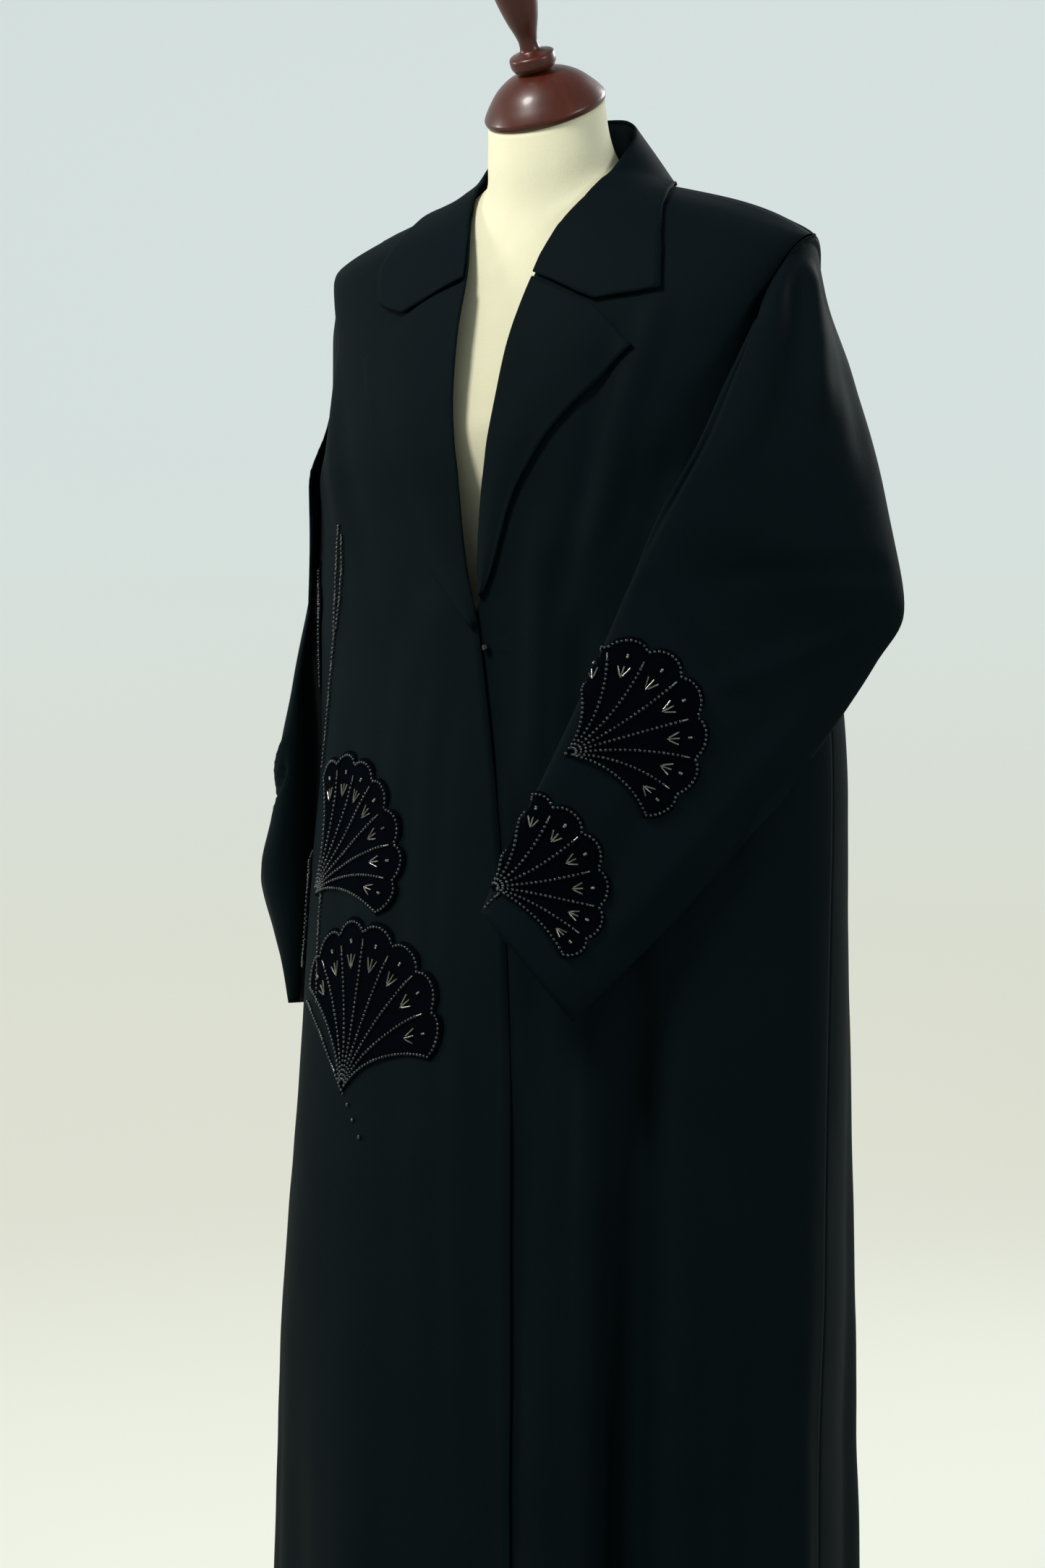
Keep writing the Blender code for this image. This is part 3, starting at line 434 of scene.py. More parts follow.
def off(tree, point, gap):
    """The point, moved out along the nearest face's normal until it clears that surface by gap.

    A point that lies past the surface's edge stays where it is.
    """
    near, normal, _, distance = tree.find_nearest(point)
    height = (point - near).dot(normal)
    aside = math.sqrt(max(0.0, distance * distance - height * height))
    if height >= gap or aside > gap:
        return point
    return point + normal * (gap - height)


def tree_of(grids):
    """A search tree over grids of points. Each face looks out of the body."""
    points = []
    faces = []
    for grid in grids:
        start = len(points)
        columns = len(grid[0])
        points += [p for line in grid for p in line]
        for i in range(len(grid) - 1):
            for j in range(columns - 1):
                a = start + i * columns + j
                faces.append((a, a + columns, a + columns + 1, a + 1))
    return BVHTree.FromPolygons(points, faces)


def right_front_lift(side, x, z):
    """The right front lies over the left one, so it stands off near its edge below the lapels."""
    if side > 0:
        return 0.0
    return OVERLAP_LIFT * ease((x - OVERLAP_X) / OVERLAP_WIDTH) * ease((OVERLAP_Z - z) / OVERLAP_FADE)


def front_grid(side, rows, columns, tree):
    """Points of a front panel's inner face, from the front edge out to the armhole or side seam."""
    grid = []
    for row in rows:
        first = edge_angle(side, row)
        line = []
        for j in range(columns + 1):
            degrees = first + (90 - first) * j / columns
            p = section_point("front", side, row, degrees)
            p.y -= right_front_lift(side, p.x, p.z)
            if j < columns or row > UNDERARM_ROW:
                p = off(tree, p, FORM_CLEARANCE)
            if row == 0 or (j == columns and row >= UNDERARM_ROW):
                p.y -= SEAM / 2
            line.append(p)
        grid.append(line if side > 0 else line[::-1])
    return grid


def neckline_point(side, x):
    """The back neckline from the nape out to the neck point."""
    t = abs(x) / NECK_POINT_X
    y = NAPE_Y + (SHOULDER_Y - NAPE_Y) * (1 - math.sqrt(max(0.0, 1 - t * t)))
    return Vector((side * abs(x), y, NAPE_Z + (NECK_POINT_Z - NAPE_Z) * t * t))


def back_grid(rows, columns, tree):
    """Points of the back's inner face, from the left side across to the right side."""
    neck = math.degrees(math.asin(NECK_POINT_X / TIP_X))
    half = [neck * j / 3 for j in range(4)]
    half += [neck + (90 - neck) * j / (columns - 3) for j in range(1, columns - 2)]
    grid = []
    for row in rows:
        line = []
        for side, angles in ((1, half[::-1]), (-1, half[1:])):
            for degrees in angles:
                p = section_point("back", side, row, degrees)
                if row == 0 and degrees < neck - 0.1:
                    p = neckline_point(side, TIP_X * math.sin(math.radians(degrees)))
                elif row == 0:
                    p.y = SHOULDER_Y
                    p.z = shoulder_z(abs(p.x))
                if degrees < 89 or row > UNDERARM_ROW:
                    p = off(tree, p, FORM_CLEARANCE)
                if row == 0 or (degrees > 89 and row >= UNDERARM_ROW):
                    p.y += SEAM / 2
                line.append(p)
        grid.append(line)
    return grid


def shoulder_z(x):
    """Height of the shoulder seam."""
    return float(TIP_Z + (YOKE[0][2] - TIP_Z) * (1 - x / TIP_X)) + pad_rise(0, x)


def sleeve_point(side, rings, along, degrees):
    """A point of a sleeve's outer face: along 0 is the armhole and 1 the cuff."""
    places = [ring[0] for ring in rings]
    keys = smooth(places, [ring[1:] for ring in rings], along)
    x, y, z = ring_point(keys, degrees)
    return Vector((side * x, y, z))


def sleeve_grid(side, rings, alongs, around, tree):
    """Rings of a sleeve's outer face, kept off the body."""
    grid = []
    for along in alongs:
        line = []
        for j in range(around):
            degrees = 90 + 360 * j / around
            p = sleeve_point(side, rings, along, degrees)
            if along == 0:
                out = p - Vector((side * TIP_X, 0, ARMHOLE_MIDDLE_Z))
                out.x = 0
                seam = SEAM if side > 0 else SEAM * RIGHT_SEAM_SHARE
                p = p - out.normalized() * seam
                p.x += side * (CLOTH + seam)
            else:
                p = off(tree, p, CLOTH * 2 + SEAM / 2 + SLEEVE_CLEARANCE * ease(along / CLEARANCE_SHARE))
            line.append(p)
        grid.append(line[::-1] if side > 0 else line)
    return grid


def front_place(side, x, z):
    """The row and degrees of the front panel's point with this X and height."""
    low = 0.0
    high = float(LAST_ROW)
    for _ in range(PLACE_ROUNDS):
        row = (low + high) / 2
        degrees = front_angle(side, row, x)
        if section_point("front", side, row, degrees).z > z:
            low = row
        else:
            high = row
    return row, degrees


def front_at(side, x, z, tree):
    """The front panel's inner face at this X and height."""
    row, degrees = front_place(side, x, z)
    p = section_point("front", side, row, degrees)
    p.y -= right_front_lift(side, p.x, p.z)
    return off(tree, p, FORM_CLEARANCE)


def collar_half(columns, places):
    """Fall of the collar on the garment's left: from the roll edge out, at each place round."""
    collar = table(COLLAR, COLLAR_COLUMNS)
    names = ("x_roll", "y_roll", "z_roll", "x_outer", "y_outer", "z_outer")
    values = np.stack([collar[name] for name in names], axis=1)
    half = []
    for place in places:
        found = smooth(collar["side"], values, place)
        roll = Vector(found[:3])
        outer = Vector(found[3:])
        bulge = Vector((outer.x - roll.x, outer.y - roll.y, 0)) * FALL_BULGE + Vector((0, 0, FALL_ROUND))
        rise = ease((place - BULGE_START) / BULGE_SPAN)
        line = []
        for j in range(columns + 1):
            t = j / columns
            line.append(roll.lerp(outer, t) + bulge * (rise * math.sin(math.pi * t)))
        half.append(line)
    return half


def both_sides(half, places):
    """Lines on the left, carried round the back to the right as mirror images.

    The photo shows the right side shorter at its front corner.
    """
    mirrored = []
    for place, line in zip(places, half):
        share = float(np.interp(place, *zip(*RIGHT_CORNER)))
        mirrored.append([Vector((-q.x, q.y, q.z)) for q in (line[0].lerp(p, share) for p in line)])
    return mirrored + half[-2::-1]


def leaf_plan(across, out, spread, length):
    """A place on a flat leaf, as sideways and up from the stem end. across is -1 to 1."""
    angle = math.radians(spread) * across * out**LEAF_CURL
    lobe = abs(math.sin(math.pi * LEAF_LOBES * (across + 1) / 2)) ** 0.5
    reach = 1 - LEAF_SCALLOP * (1 - lobe) * out**4
    shape = 1 - LEAF_NARROWING * across * across - LEAF_LEANING * across
    radius = length * out * reach * shape
    return radius * math.sin(angle), radius * math.cos(angle)


def turned(sideways, up, degrees):
    """The place after the leaf is turned about its stem end."""
    a = math.radians(degrees)
    return sideways * math.cos(a) + up * math.sin(a), up * math.cos(a) - sideways * math.sin(a)


def row_at(z):
    """Row of the panels at a height below the underarm."""
    levels = [row[3] for row in ROWS["front", -1][UNDERARM_ROW:]]
    return UNDERARM_ROW + float(np.interp(-z, [-level for level in levels], range(len(levels))))


def round_body(row, degrees):
    """The right front below the underarm, carried on past the side seam onto the back."""
    if degrees <= 90:
        return section_point("front", -1, row, degrees)
    return section_point("back", -1, row, 180 - degrees)


def lifted(tree, point, lift):
    """The nearest place on the surface, moved out by lift."""
    near, normal, _, _ = tree.find_nearest(point)
    return near + normal * lift


def form_rings(around, between=1):
    """Rings of the torso from the neck's top down, with smooth ones between the table's rings."""
    places = np.arange(len(FORM_RINGS))
    rings = []
    for i in range((len(FORM_RINGS) - 1) * between + 1):
        values = smooth(places, FORM_RINGS, i / between)
        half, y_front, y_side, y_back, z_front, z_side, z_back, drop = values
        ring = []
        for j in range(around):
            a = 2 * math.pi * j / around
            y_end, z_end = (y_front, z_front) if math.cos(a) >= 0 else (y_back, z_back)
            y = y_side + (y_end - y_side) * abs(math.cos(a))
            z = z_side + (z_end - z_side) * abs(math.cos(a)) ** drop
            ring.append(Vector((half * math.sin(a), y, z)))
        rings.append(ring)
    return rings


def neck_seam(place):
    """Foot of the collar stand, just above the neckline, at a place round the collar."""
    t = (place - STAND_START) / (1 - STAND_START)
    x = NECK_POINT_X * math.cos(t * math.pi / 2)
    p = neckline_point(1, x)
    p.z += STAND_RISE
    return p


# Turned profiles: radius and height, top down
CAP = (
    (0.0, 0.039),
    (0.014, 0.0375),
    (0.027, 0.0325),
    (0.038, 0.0250),
    (0.047, 0.0150),
    (0.0520, 0.0080),
    (0.0535, 0.0045),
    (CAP_RADIUS, 0.0010),
    (0.0515, 0.0),
    (0.0, 0.0),
)
SPINDLE = (
    (0.0, 0.142),
    (0.006, 0.1405),
    (0.0125, 0.134),
    (0.0180, 0.116),
    (0.0205, 0.094),
    (0.0190, 0.068),
    (0.0145, 0.046),
    (0.0095, 0.030),
    (0.0082, 0.022),
    (0.0100, 0.0155),
    (0.0185, 0.0125),
    (0.0200, 0.0085),
    (0.0195, 0.0035),
    (0.0175, 0.0),
    (0.0, 0.0),
)
CAP_GAP = 0.0006
CAP_HEIGHT = 0.0393
CAP_AROUND = 96
FINIAL_AROUND = 72
LATHE_BETWEEN = 6
FORM_AROUND = 96
TREE_AROUND = 28
FORM_BETWEEN = 6

# Fine grids
ROWS_PER_LEVEL = 9
LEFT_COLUMNS = 66
RIGHT_COLUMNS = 54
BACK_COLUMNS = 56
SLEEVE_ROWS = 110
SLEEVE_CROWDING = 1.1
LAPEL_LINES = 40
NOTCH_LINES = 8
LAPEL_ACROSS = 18
COLLAR_PLACES = 48
STRAIGHT_ROWS = 3
COLLAR_ACROSS = 16
LEAF_OUT = 22
LEAF_ACROSS = 6
LEAF_FOOT = 0.05
SLEEVE_TURNS = range(-80, 161, 4)
FRONT_TURNS = range(0, 151, 3)
# Charts of the cloth under the leaves: lowest, highest and how many heights
FRONT_CHART = (-0.16, 0.17, 50)
SLEEVE_CHART = (-0.06, 0.42, 70)

# Where the small folds fade: columns from a seam, rows from the shoulder, share of a sleeve's length
CREASE_COLUMNS = 5
CREASE_ROWS = 6
SLEEVE_HEAD = 0.05
# Evening out of the panels near the underarm: rows and columns that it takes, rounds, pull of a round
EVEN_ROWS = 1.6
EVEN_COLUMNS = 6
EVEN_ROUNDS = 40
EVEN_PULL = 0.7

# Rise of a lapel from its edge: half turns of a sine, and how fast it gets there
LAPEL_ARCH = 0.75
LAPEL_ARCH_START = 1.2
# Collar stand: how far its top lies below the roll, how far off the form, and its lines from the top
STAND_DROP = 0.0012
STAND_CLEARANCE = 0.0024
STAND_LINES = (1.0, 0.8, 0.6, 0.4, 0.2, 0.0)
NECK_MIDDLE_Y = -0.02
# Rounds of evening out of a lapel or leaf and of the collar, and the lines over which it rises
EVEN_LAPEL = 2
EVEN_COLLAR = 3
FALL_LINES = 4
# Turned-over edges
CURL_RADIUS = 0.0016
CURL_ANGLES = (140, 105, 70, 35)

# Small folds of the body panels: panel, start X and Z, end X and Z, half width, how far out
DRAPES = (
    ("left_front", 0.150, 1.330, 0.100, 1.080, 0.020, 0.0035),
    ("left_front", 0.118, 1.300, 0.075, 1.040, 0.016, -0.0030),
    ("left_front", 0.185, 1.200, 0.128, 0.930, 0.022, 0.0045),
    ("left_front", 0.060, 1.150, 0.058, 0.870, 0.018, 0.0025),
    ("left_front", 0.095, 1.060, 0.105, 0.800, 0.020, -0.0035),
    ("left_front", 0.150, 1.020, 0.165, 0.720, 0.022, 0.0035),
    ("left_front", 0.030, 0.960, 0.060, 0.600, 0.020, 0.0030),
    ("left_front", 0.205, 1.120, 0.215, 0.800, 0.016, -0.0030),
    ("left_front", 0.112, 0.800, 0.116, -0.150, 0.014, 0.0050),
    ("left_front", 0.148, 0.790, 0.152, -0.150, 0.026, -0.0100),
    ("left_front", 0.184, 0.780, 0.187, -0.150, 0.018, 0.0035),
    ("right_front", -0.200, 1.300, -0.150, 1.090, 0.022, 0.0030),
    ("right_front", -0.170, 1.240, -0.110, 1.060, 0.020, -0.0022),
    ("right_front", -0.060, 1.060, -0.100, 0.760, 0.026, 0.0022),
    ("right_front", -0.020, 1.000, -0.040, 0.700, 0.018, -0.0016),
    ("right_front", -0.140, 1.000, -0.150, 0.700, 0.030, -0.0022),
    ("right_front", -0.005, 0.760, 0.010, 0.300, 0.022, 0.0020),
    ("back", -0.150, 1.340, -0.120, 1.080, 0.026, -0.0035),
    ("back", 0.150, 1.340, 0.125, 1.080, 0.026, -0.0035),
    ("back", -0.195, 1.280, -0.175, 1.030, 0.018, 0.0040),
    ("back", 0.195, 1.280, 0.178, 1.030, 0.018, 0.0040),
    ("back", 0.000, 1.420, 0.000, 1.150, 0.050, -0.0020),
    ("back", -0.060, 1.260, -0.070, 0.900, 0.026, 0.0025),
    ("back", 0.065, 1.240, 0.070, 0.900, 0.026, 0.0025),
)

# Small folds of the sleeves: sleeve, start along and degrees, end along and degrees, half width,
# how far out. Degrees: 0 back fold, 90 outer face, 180 front fold, 270 towards the body.
SLEEVE_DRAPES = (
    ("left_sleeve", 0.02, 160, 0.50, 167, 0.0060, -0.0030),
    ("left_sleeve", 0.00, 168, 0.52, 174, 0.0050, 0.0022),
    ("left_sleeve", 0.04, 96, 0.30, 100, 0.0140, 0.0050),
    ("left_sleeve", 0.05, 112, 0.36, 118, 0.0160, -0.0030),
    ("left_sleeve", 0.06, 132, 0.40, 138, 0.0160, 0.0026),
    ("left_sleeve", 0.06, 74, 0.36, 66, 0.0160, -0.0034),
    ("left_sleeve", 0.40, 30, 0.50, 120, 0.0120, -0.0024),
    ("left_sleeve", 0.45, 20, 0.62, 100, 0.0120, 0.0024),
    ("left_sleeve", 0.50, 160, 0.62, 70, 0.0140, -0.0022),
    ("left_sleeve", 0.55, 40, 0.95, 60, 0.0160, 0.0026),
    ("left_sleeve", 0.62, 82, 0.98, 90, 0.0200, -0.0024),
    ("left_sleeve", 0.60, 240, 0.90, 250, 0.0160, 0.0030),
    ("right_sleeve", 0.03, 100, 0.40, 108, 0.0150, 0.0040),
    ("right_sleeve", 0.05, 130, 0.45, 140, 0.0160, -0.0030),
    ("right_sleeve", 0.05, 70, 0.50, 60, 0.0160, -0.0030),
    ("right_sleeve", 0.60, 190, 0.70, 88, 0.0120, -0.0080),
    ("right_sleeve", 0.56, 186, 0.66, 84, 0.0110, 0.0030),
    ("right_sleeve", 0.61, 60, 0.68, 20, 0.0120, -0.0050),
    ("right_sleeve", 0.72, 120, 0.96, 116, 0.0180, 0.0030),
    ("right_sleeve", 0.74, 60, 0.97, 66, 0.0180, -0.0026),
)
SLEEVE_LENGTH = 0.70
METRES_PER_DEGREE = 0.0009
# Share of a small fold's length over which it begins, and over which it runs out
FOLD_START = 0.2
FOLD_END = 0.25
# Unevenness of the hanging cloth: size of the patches, and how far out
UNEVEN = ((0.110, 0.0013), (0.045, 0.0005))

# Beads: seed beads follow the leaf's rim and veins, bugles are short tubes
VEINS = 6
LEAF_REACH = {"leaf_front_low": 0.14, "leaf_front_middle": 0.13}
VEIN_START = 0.12
VEIN_END = 0.86
RIM_OUT = 0.975
RIM_SIDE = 0.985
RIM_STEPS = 120
VEIN_STEPS = 30
SHORTER_VEIN = 0.03
VEIN_BUGLE = (0.015, 0.06)
MOTIF_OUT = (0.72, 0.80, 0.865)
MOTIF_WING = 0.055
MOTIF_STEP = 0.012
CRYSTAL = 0.0024
CRYSTAL_PITCH = 0.0034
# How much of a bead's radius stands clear of the pile, the range of sizes, and the size of the
# cells that give each bead its shade
BEAD_SINK = 0.8
BEAD_SIZES = (0.86, 1.10)
BEAD_CELL = 0.004
STEM_BUGLE = 0.3
TAIL_PATH = 0.001
TAIL_PITCH = 0.01
CRYSTAL_SEED = 20
STEM_SEED = 40
# Strands of beads on the front and sleeve, as places in the photo's 1445 by 2168 frame
STRANDS = (
    ("front", ((430, 1385), (446, 1425), (462, 1470), (478, 1512))),
    ("front", ((467, 872), (463, 915), (459, 960), (455, 1010), (450, 1060))),
    ("front", ((476, 740), (477, 780), (474, 826), (469, 868))),
    ("front", ((472, 727), (470, 770), (468, 820), (466, 872))),
    ("front", ((448, 1236), (445, 1275), (443, 1330), (442, 1385))),
    ("sleeve", ((783, 1042), (760, 1052), (738, 1068), (717, 1090))),
    ("sleeve", ((690, 1145), (680, 1180), (673, 1215), (668, 1250))),
    ("sleeve", ((690, 1236), (672, 1254), (655, 1275))),
)
TAIL_BEADS = ((484, 1528), (491, 1549), (500, 1573))

# Photo's camera: degrees round, distance, height, sideways, and lens for a 36 mm high sensor
CAMERA_AZIMUTH = 31.0
CAMERA_DISTANCE = 3.2
CAMERA_HEIGHT = 0.91
CAMERA_ASIDE = 0.036
CAMERA_LENS = 85.0
SENSOR = 36.0
PHOTO_SIZE = (1445, 2168)

# Backdrop: the share of its colour that is paper, the painted glow (emitted light standing in for lamp
# light) of the rest behind the cloak and elsewhere, the height where the glow stops changing, and how much
# warmer the painted glow is low down
PAPER_SHARE = 0.38
GLOW = 0.70
GLOW_ELSEWHERE = 0.36
GLOW_RISE = 2.0
LOW_WARMTH = (1.06, 0.93, 0.76)
# Its sheet: radius of the flat floor and of the bend, heights of the wall, how far below the base
PAPER_FLOOR = 4.2
PAPER_BEND = 2.6
PAPER_HEIGHTS = (5.5, 9.0)
PAPER_DROP = 0.0004
PAPER_AROUND = 64

# Lights: name, degrees round, distance, height, diameter, watts, tint
LIGHTS = (
    ("key", -20.0, 2.4, 3.5, 0.8, 104.0, (1.0, 0.98, 0.95)),
    ("side", -70.0, 3.2, 1.9, 0.7, 35.0, (1.0, 0.99, 0.97)),
    ("fill", 84.0, 3.6, 2.2, 1.2, 44.0, (0.93, 0.97, 1.0)),
    ("back", 170.0, 3.4, 3.0, 1.6, 78.0, (0.95, 0.98, 1.0)),
)
LIGHT_AIM_Z = 1.0
WORLD_TINT = (0.86, 0.94, 1.0, 1)
WORLD_STRENGTH = 0.34

# What a step leaves for the next ones: cloth, search trees and the leaves' grids
made = {}


def linear(colour):
    """sRGB hex text as linear red, green, blue."""
    values = [int(colour[i : i + 2], 16) / 255 for i in (1, 3, 5)]
    return tuple(v / 12.92 if v <= 0.04045 else ((v + 0.055) / 1.055) ** 2.4 for v in values)


def colour_property(name, text, default):
    return bpy.props.FloatVectorProperty(
        name=name, description=text, subtype="COLOR", size=3, min=0, max=1, default=linear(default)
    )


class CloakSettings(bpy.types.PropertyGroup):
    """Sizes and colours that a user would change."""

    bead: bpy.props.FloatProperty(
        name="Bead diameter", description="Diameter of a seed bead", default=0.0027, unit="LENGTH"
    )
    pitch: bpy.props.FloatProperty(
        name="Bead pitch", description="From one seed bead to the next", default=0.0038, unit="LENGTH"
    )
    bugle: bpy.props.FloatProperty(
        name="Bugle diameter", description="Diameter of a bugle bead", default=0.0013, unit="LENGTH"
    )
    creases: bpy.props.FloatProperty(
        name="Creases", description="Share of the small folds' depth", default=1.0, min=0, max=1.2
    )
    crepe: colour_property("Crepe", "Colour of the cloak's cloth", "#071013")
    velvet: colour_property("Velvet", "Colour of the leaves", "#020408")
    jersey: colour_property("Jersey", "Colour of the form's cover", "#DDD9BA")
    wood: colour_property("Wood", "Colour of the turned wood", "#45190B")
    glass: colour_property("Seed beads", "Colour of the seed beads", "#23282B")
    crystal: colour_property("Crystals", "Colour of the bugles and crystals", "#6E6C64")
    backdrop: colour_property("Backdrop", "Colour of the floor and backdrop", "#DDE7E6")


def settings():
    return bpy.context.scene.cloak_settings


def linked(tree, socket, value):
    """Gives a socket its value, or the other socket that feeds it."""
    if isinstance(value, bpy.types.NodeSocket):
        tree.links.new(value, socket)
    else:
        socket.default_value = value


def add_node(tree, kind, **values):
    """A node with sockets set by name, or properties set by attribute."""
    node = tree.nodes.new(kind)
    for key, value in values.items():
        if hasattr(node, key):
            setattr(node, key, value)
        else:
            linked(tree, node.inputs[key.replace("_", " ")], value)
    return node


def calculated(tree, operation, *values, kind="ShaderNodeMath"):
    """A Math node that works on these values and sockets, in order."""
    node = add_node(tree, kind, operation=operation)
    for socket, value in zip(node.inputs, values):
        linked(tree, socket, value)
    return node


def new_material(name, colour, **values):
    """A Principled material. Returns it with its tree, shader and object coordinates."""
    made_of = bpy.data.materials.new(name)
    made_of.use_nodes = True
    made_of.diffuse_color = (*colour, 1)
    tree = made_of.node_tree
    shader = tree.nodes["Principled BSDF"]
    shader.inputs["Base Color"].default_value = (*colour, 1)
    for key, value in values.items():
        shader.inputs[key.replace("_", " ")].default_value = value
    places = add_node(tree, "ShaderNodeTexCoord").outputs["Object"]
    return made_of, tree, shader, places


def bump(tree, shader, height, distance, strength=1.0):
    """Relief of that many metres on the shader."""
    node = add_node(tree, "ShaderNodeBump", Distance=distance, Strength=strength, Height=height)
    tree.links.new(node.outputs["Normal"], shader.inputs["Normal"])


def mixed_colour(tree, shader, amount, base, darkest, lightest):
    """Base colour that moves with amount between two shares of base."""
    ramp = add_node(tree, "ShaderNodeValToRGB", Fac=amount)
    for element, share in zip(ramp.color_ramp.elements, (darkest, lightest)):
        element.color = (*(min(c * share, 1) for c in base), 1)
    tree.links.new(ramp.outputs["Color"], shader.inputs["Base Color"])


def cloudy(tree, places, scale, detail):
    """Soft noise from 0 to 1, so many patches to the metre."""
    return add_node(tree, "ShaderNodeTexNoise", Vector=places, Scale=scale, Detail=detail).outputs["Fac"]


def crepe_material():
    """Black crepe: the tight pebbled twist scatters light, so it stays matt with a faint bloom."""
    base = settings().crepe
    cloth, tree, shader, places = new_material(
        "crepe_cloth",
        base,
        Roughness=0.66,
        Specular_IOR_Level=0.022,
        Sheen_Weight=0.003,
        Sheen_Roughness=0.45,
        Sheen_Tint=(0.62, 0.86, 0.90, 1),
    )
    mixed_colour(tree, shader, cloudy(tree, places, 14.0, 3.0), base, 0.88, 1.12)
    pebbles = cloudy(tree, places, 1500.0, 2.0)
    slubs = cloudy(tree, places, 260.0, 3.0)
    bump(tree, shader, calculated(tree, "ADD", pebbles, slubs).outputs[0], 0.00012)
    return cloth


def velvet_material():
    """Velvet: upright pile swallows light from the front and catches a rim at grazing angles."""
    cloth, tree, shader, places = new_material(
        "velvet_cloth",
        settings().velvet,
        Roughness=0.95,
        Specular_IOR_Level=0.01,
        Sheen_Weight=0.012,
        Sheen_Roughness=0.30,
        Sheen_Tint=(0.55, 0.68, 0.90, 1),
    )
    bump(tree, shader, cloudy(tree, places, 1800.0, 2.0), 0.00025)
    return cloth


def jersey_material():
    """Cotton jersey: fine vertical wales, soft and without gloss."""
    base = settings().jersey
    cloth, tree, shader, places = new_material(
        "jersey_cover", base, Roughness=0.9, Specular_IOR_Level=0.2, Sheen_Weight=0.03
    )
    mixed_colour(tree, shader, cloudy(tree, places, 22.0, 4.0), base, 0.90, 1.04)
    bump(tree, shader, cloudy(tree, places, 900.0, 1.0), 0.0002)
    return cloth


def wood_material():
    """Varnished turned mahogany: dark streaks along the grain under a clear glossy coat."""
    base = settings().wood
    wood, tree, shader, places = new_material(
        "mahogany_wood",
        base,
        Roughness=0.38,
        Specular_IOR_Level=0.35,
        Coat_Weight=0.16,
        Coat_Roughness=0.14,
    )
    stretched = add_node(tree, "ShaderNodeMapping", Vector=places, Scale=(1.0, 1.0, 0.16))
    grain = cloudy(tree, stretched.outputs[0], 150.0, 5.0)
    mixed_colour(tree, shader, grain, base, 0.55, 1.45)
    bump(tree, shader, grain, 0.0001, 0.4)
    return wood


def glass_material(name, colour, roughness, metallic):
    """Lined glass beads: small sharp glints on a grey, half metallic body."""
    glass, tree, shader, places = new_material(
        name,
        colour,
        Roughness=roughness,
        Specular_IOR_Level=0.5,
        Metallic=metallic,
        Coat_Weight=0.35,
        Coat_Roughness=0.05,
    )
    snapped = calculated(tree, "SNAP", places, (BEAD_CELL,) * 3, kind="ShaderNodeVectorMath")
    lots = add_node(tree, "ShaderNodeTexWhiteNoise", Vector=snapped.outputs[0])
    mixed_colour(tree, shader, lots.outputs["Value"], colour, 0.45, 1.5)
    return glass


def line_effect(at, start, end, half_width, depth):
    """How far a crease on the line from start to end carries the cloth out at a flat place."""
    along = end - start
    t = float(np.clip((at - start).dot(along) / along.dot(along), 0.0, 1.0))
    away = np.linalg.norm(at - start - along * t) / half_width
    if away >= 1:
        return 0.0
    return depth * math.cos(away * math.pi / 2) ** 2 * ease(t / FOLD_START) * ease((1 - t) / FOLD_END)


def unevenness(p):
    return sum(depth * noise.noise(p / size) for size, depth in UNEVEN)


def body_crease(panel, p):
    """Small folds of a body panel at a point of it."""
    at = np.array((p.x, p.z))
    out = 0.0
    for name, x0, z0, x1, z1, half, depth in DRAPES:
        if name == panel:
            out += line_effect(at, np.array((x0, z0)), np.array((x1, z1)), half, depth)
    return out


def sleeve_crease(name, along, degrees):
    """Small folds of a sleeve at a place of it."""
    at = np.array((along * SLEEVE_LENGTH, degrees * METRES_PER_DEGREE))
    out = 0.0
    for sleeve, a0, d0, a1, d1, half, depth in SLEEVE_DRAPES:
        if sleeve == name:
            start = np.array((a0 * SLEEVE_LENGTH, d0 * METRES_PER_DEGREE))
            end = np.array((a1 * SLEEVE_LENGTH, d1 * METRES_PER_DEGREE))
            out += line_effect(at, start, end, half, depth)
    return out


def grid_normals(grid, closed=False):
    """Unit normals of a grid, on the side that its faces point to."""
    points = np.array([[tuple(p) for p in line] for line in grid])
    if closed:
        across = np.roll(points, -1, axis=1) - np.roll(points, 1, axis=1)
    else:
        across = np.gradient(points, axis=1)
    normals = np.cross(np.gradient(points, axis=0), across)
    return normals / (np.linalg.norm(normals, axis=2, keepdims=True) + 1e-12)


def creased(grid, amounts, closed=False):
    """The grid moved along its normals by amounts in metres."""
    normals = grid_normals(grid, closed)
    return [
        [p + Vector(n) * float(a) for p, n, a in zip(line, line_normals, line_amounts)]
        for line, line_normals, line_amounts in zip(grid, normals, amounts)
    ]


def relaxed(grid, rounds):
    """The grid with its inner points evened out, its border kept."""
    points = np.array([[tuple(p) for p in line] for line in grid])
    for _ in range(rounds):
        inner = points[:-2, 1:-1] + points[2:, 1:-1] + points[1:-1, :-2] + points[1:-1, 2:]
        points[1:-1, 1:-1] = points[1:-1, 1:-1] * 0.5 + inner / 8
    return [[Vector(p) for p in line] for line in points]


def mesh_object(name, points, faces, edges=()):
    mesh = bpy.data.meshes.new(name)
    mesh.from_pydata([tuple(p) for p in points], list(edges), faces)
    mesh.update()
    made_of = bpy.data.objects.new(name, mesh)
    bpy.context.scene.collection.objects.link(made_of)
    return made_of


def grid_faces(lines, columns, closed=False):
    """Faces between neighbouring lines of points. A closed grid joins its last column to its first."""
    faces = []
    for i in range(lines - 1):
        a = i * columns
        for j in range(columns if closed else columns - 1):
            k = (j + 1) % columns
            faces.append((a + j, a + columns + j, a + columns + k, a + k))
    return faces


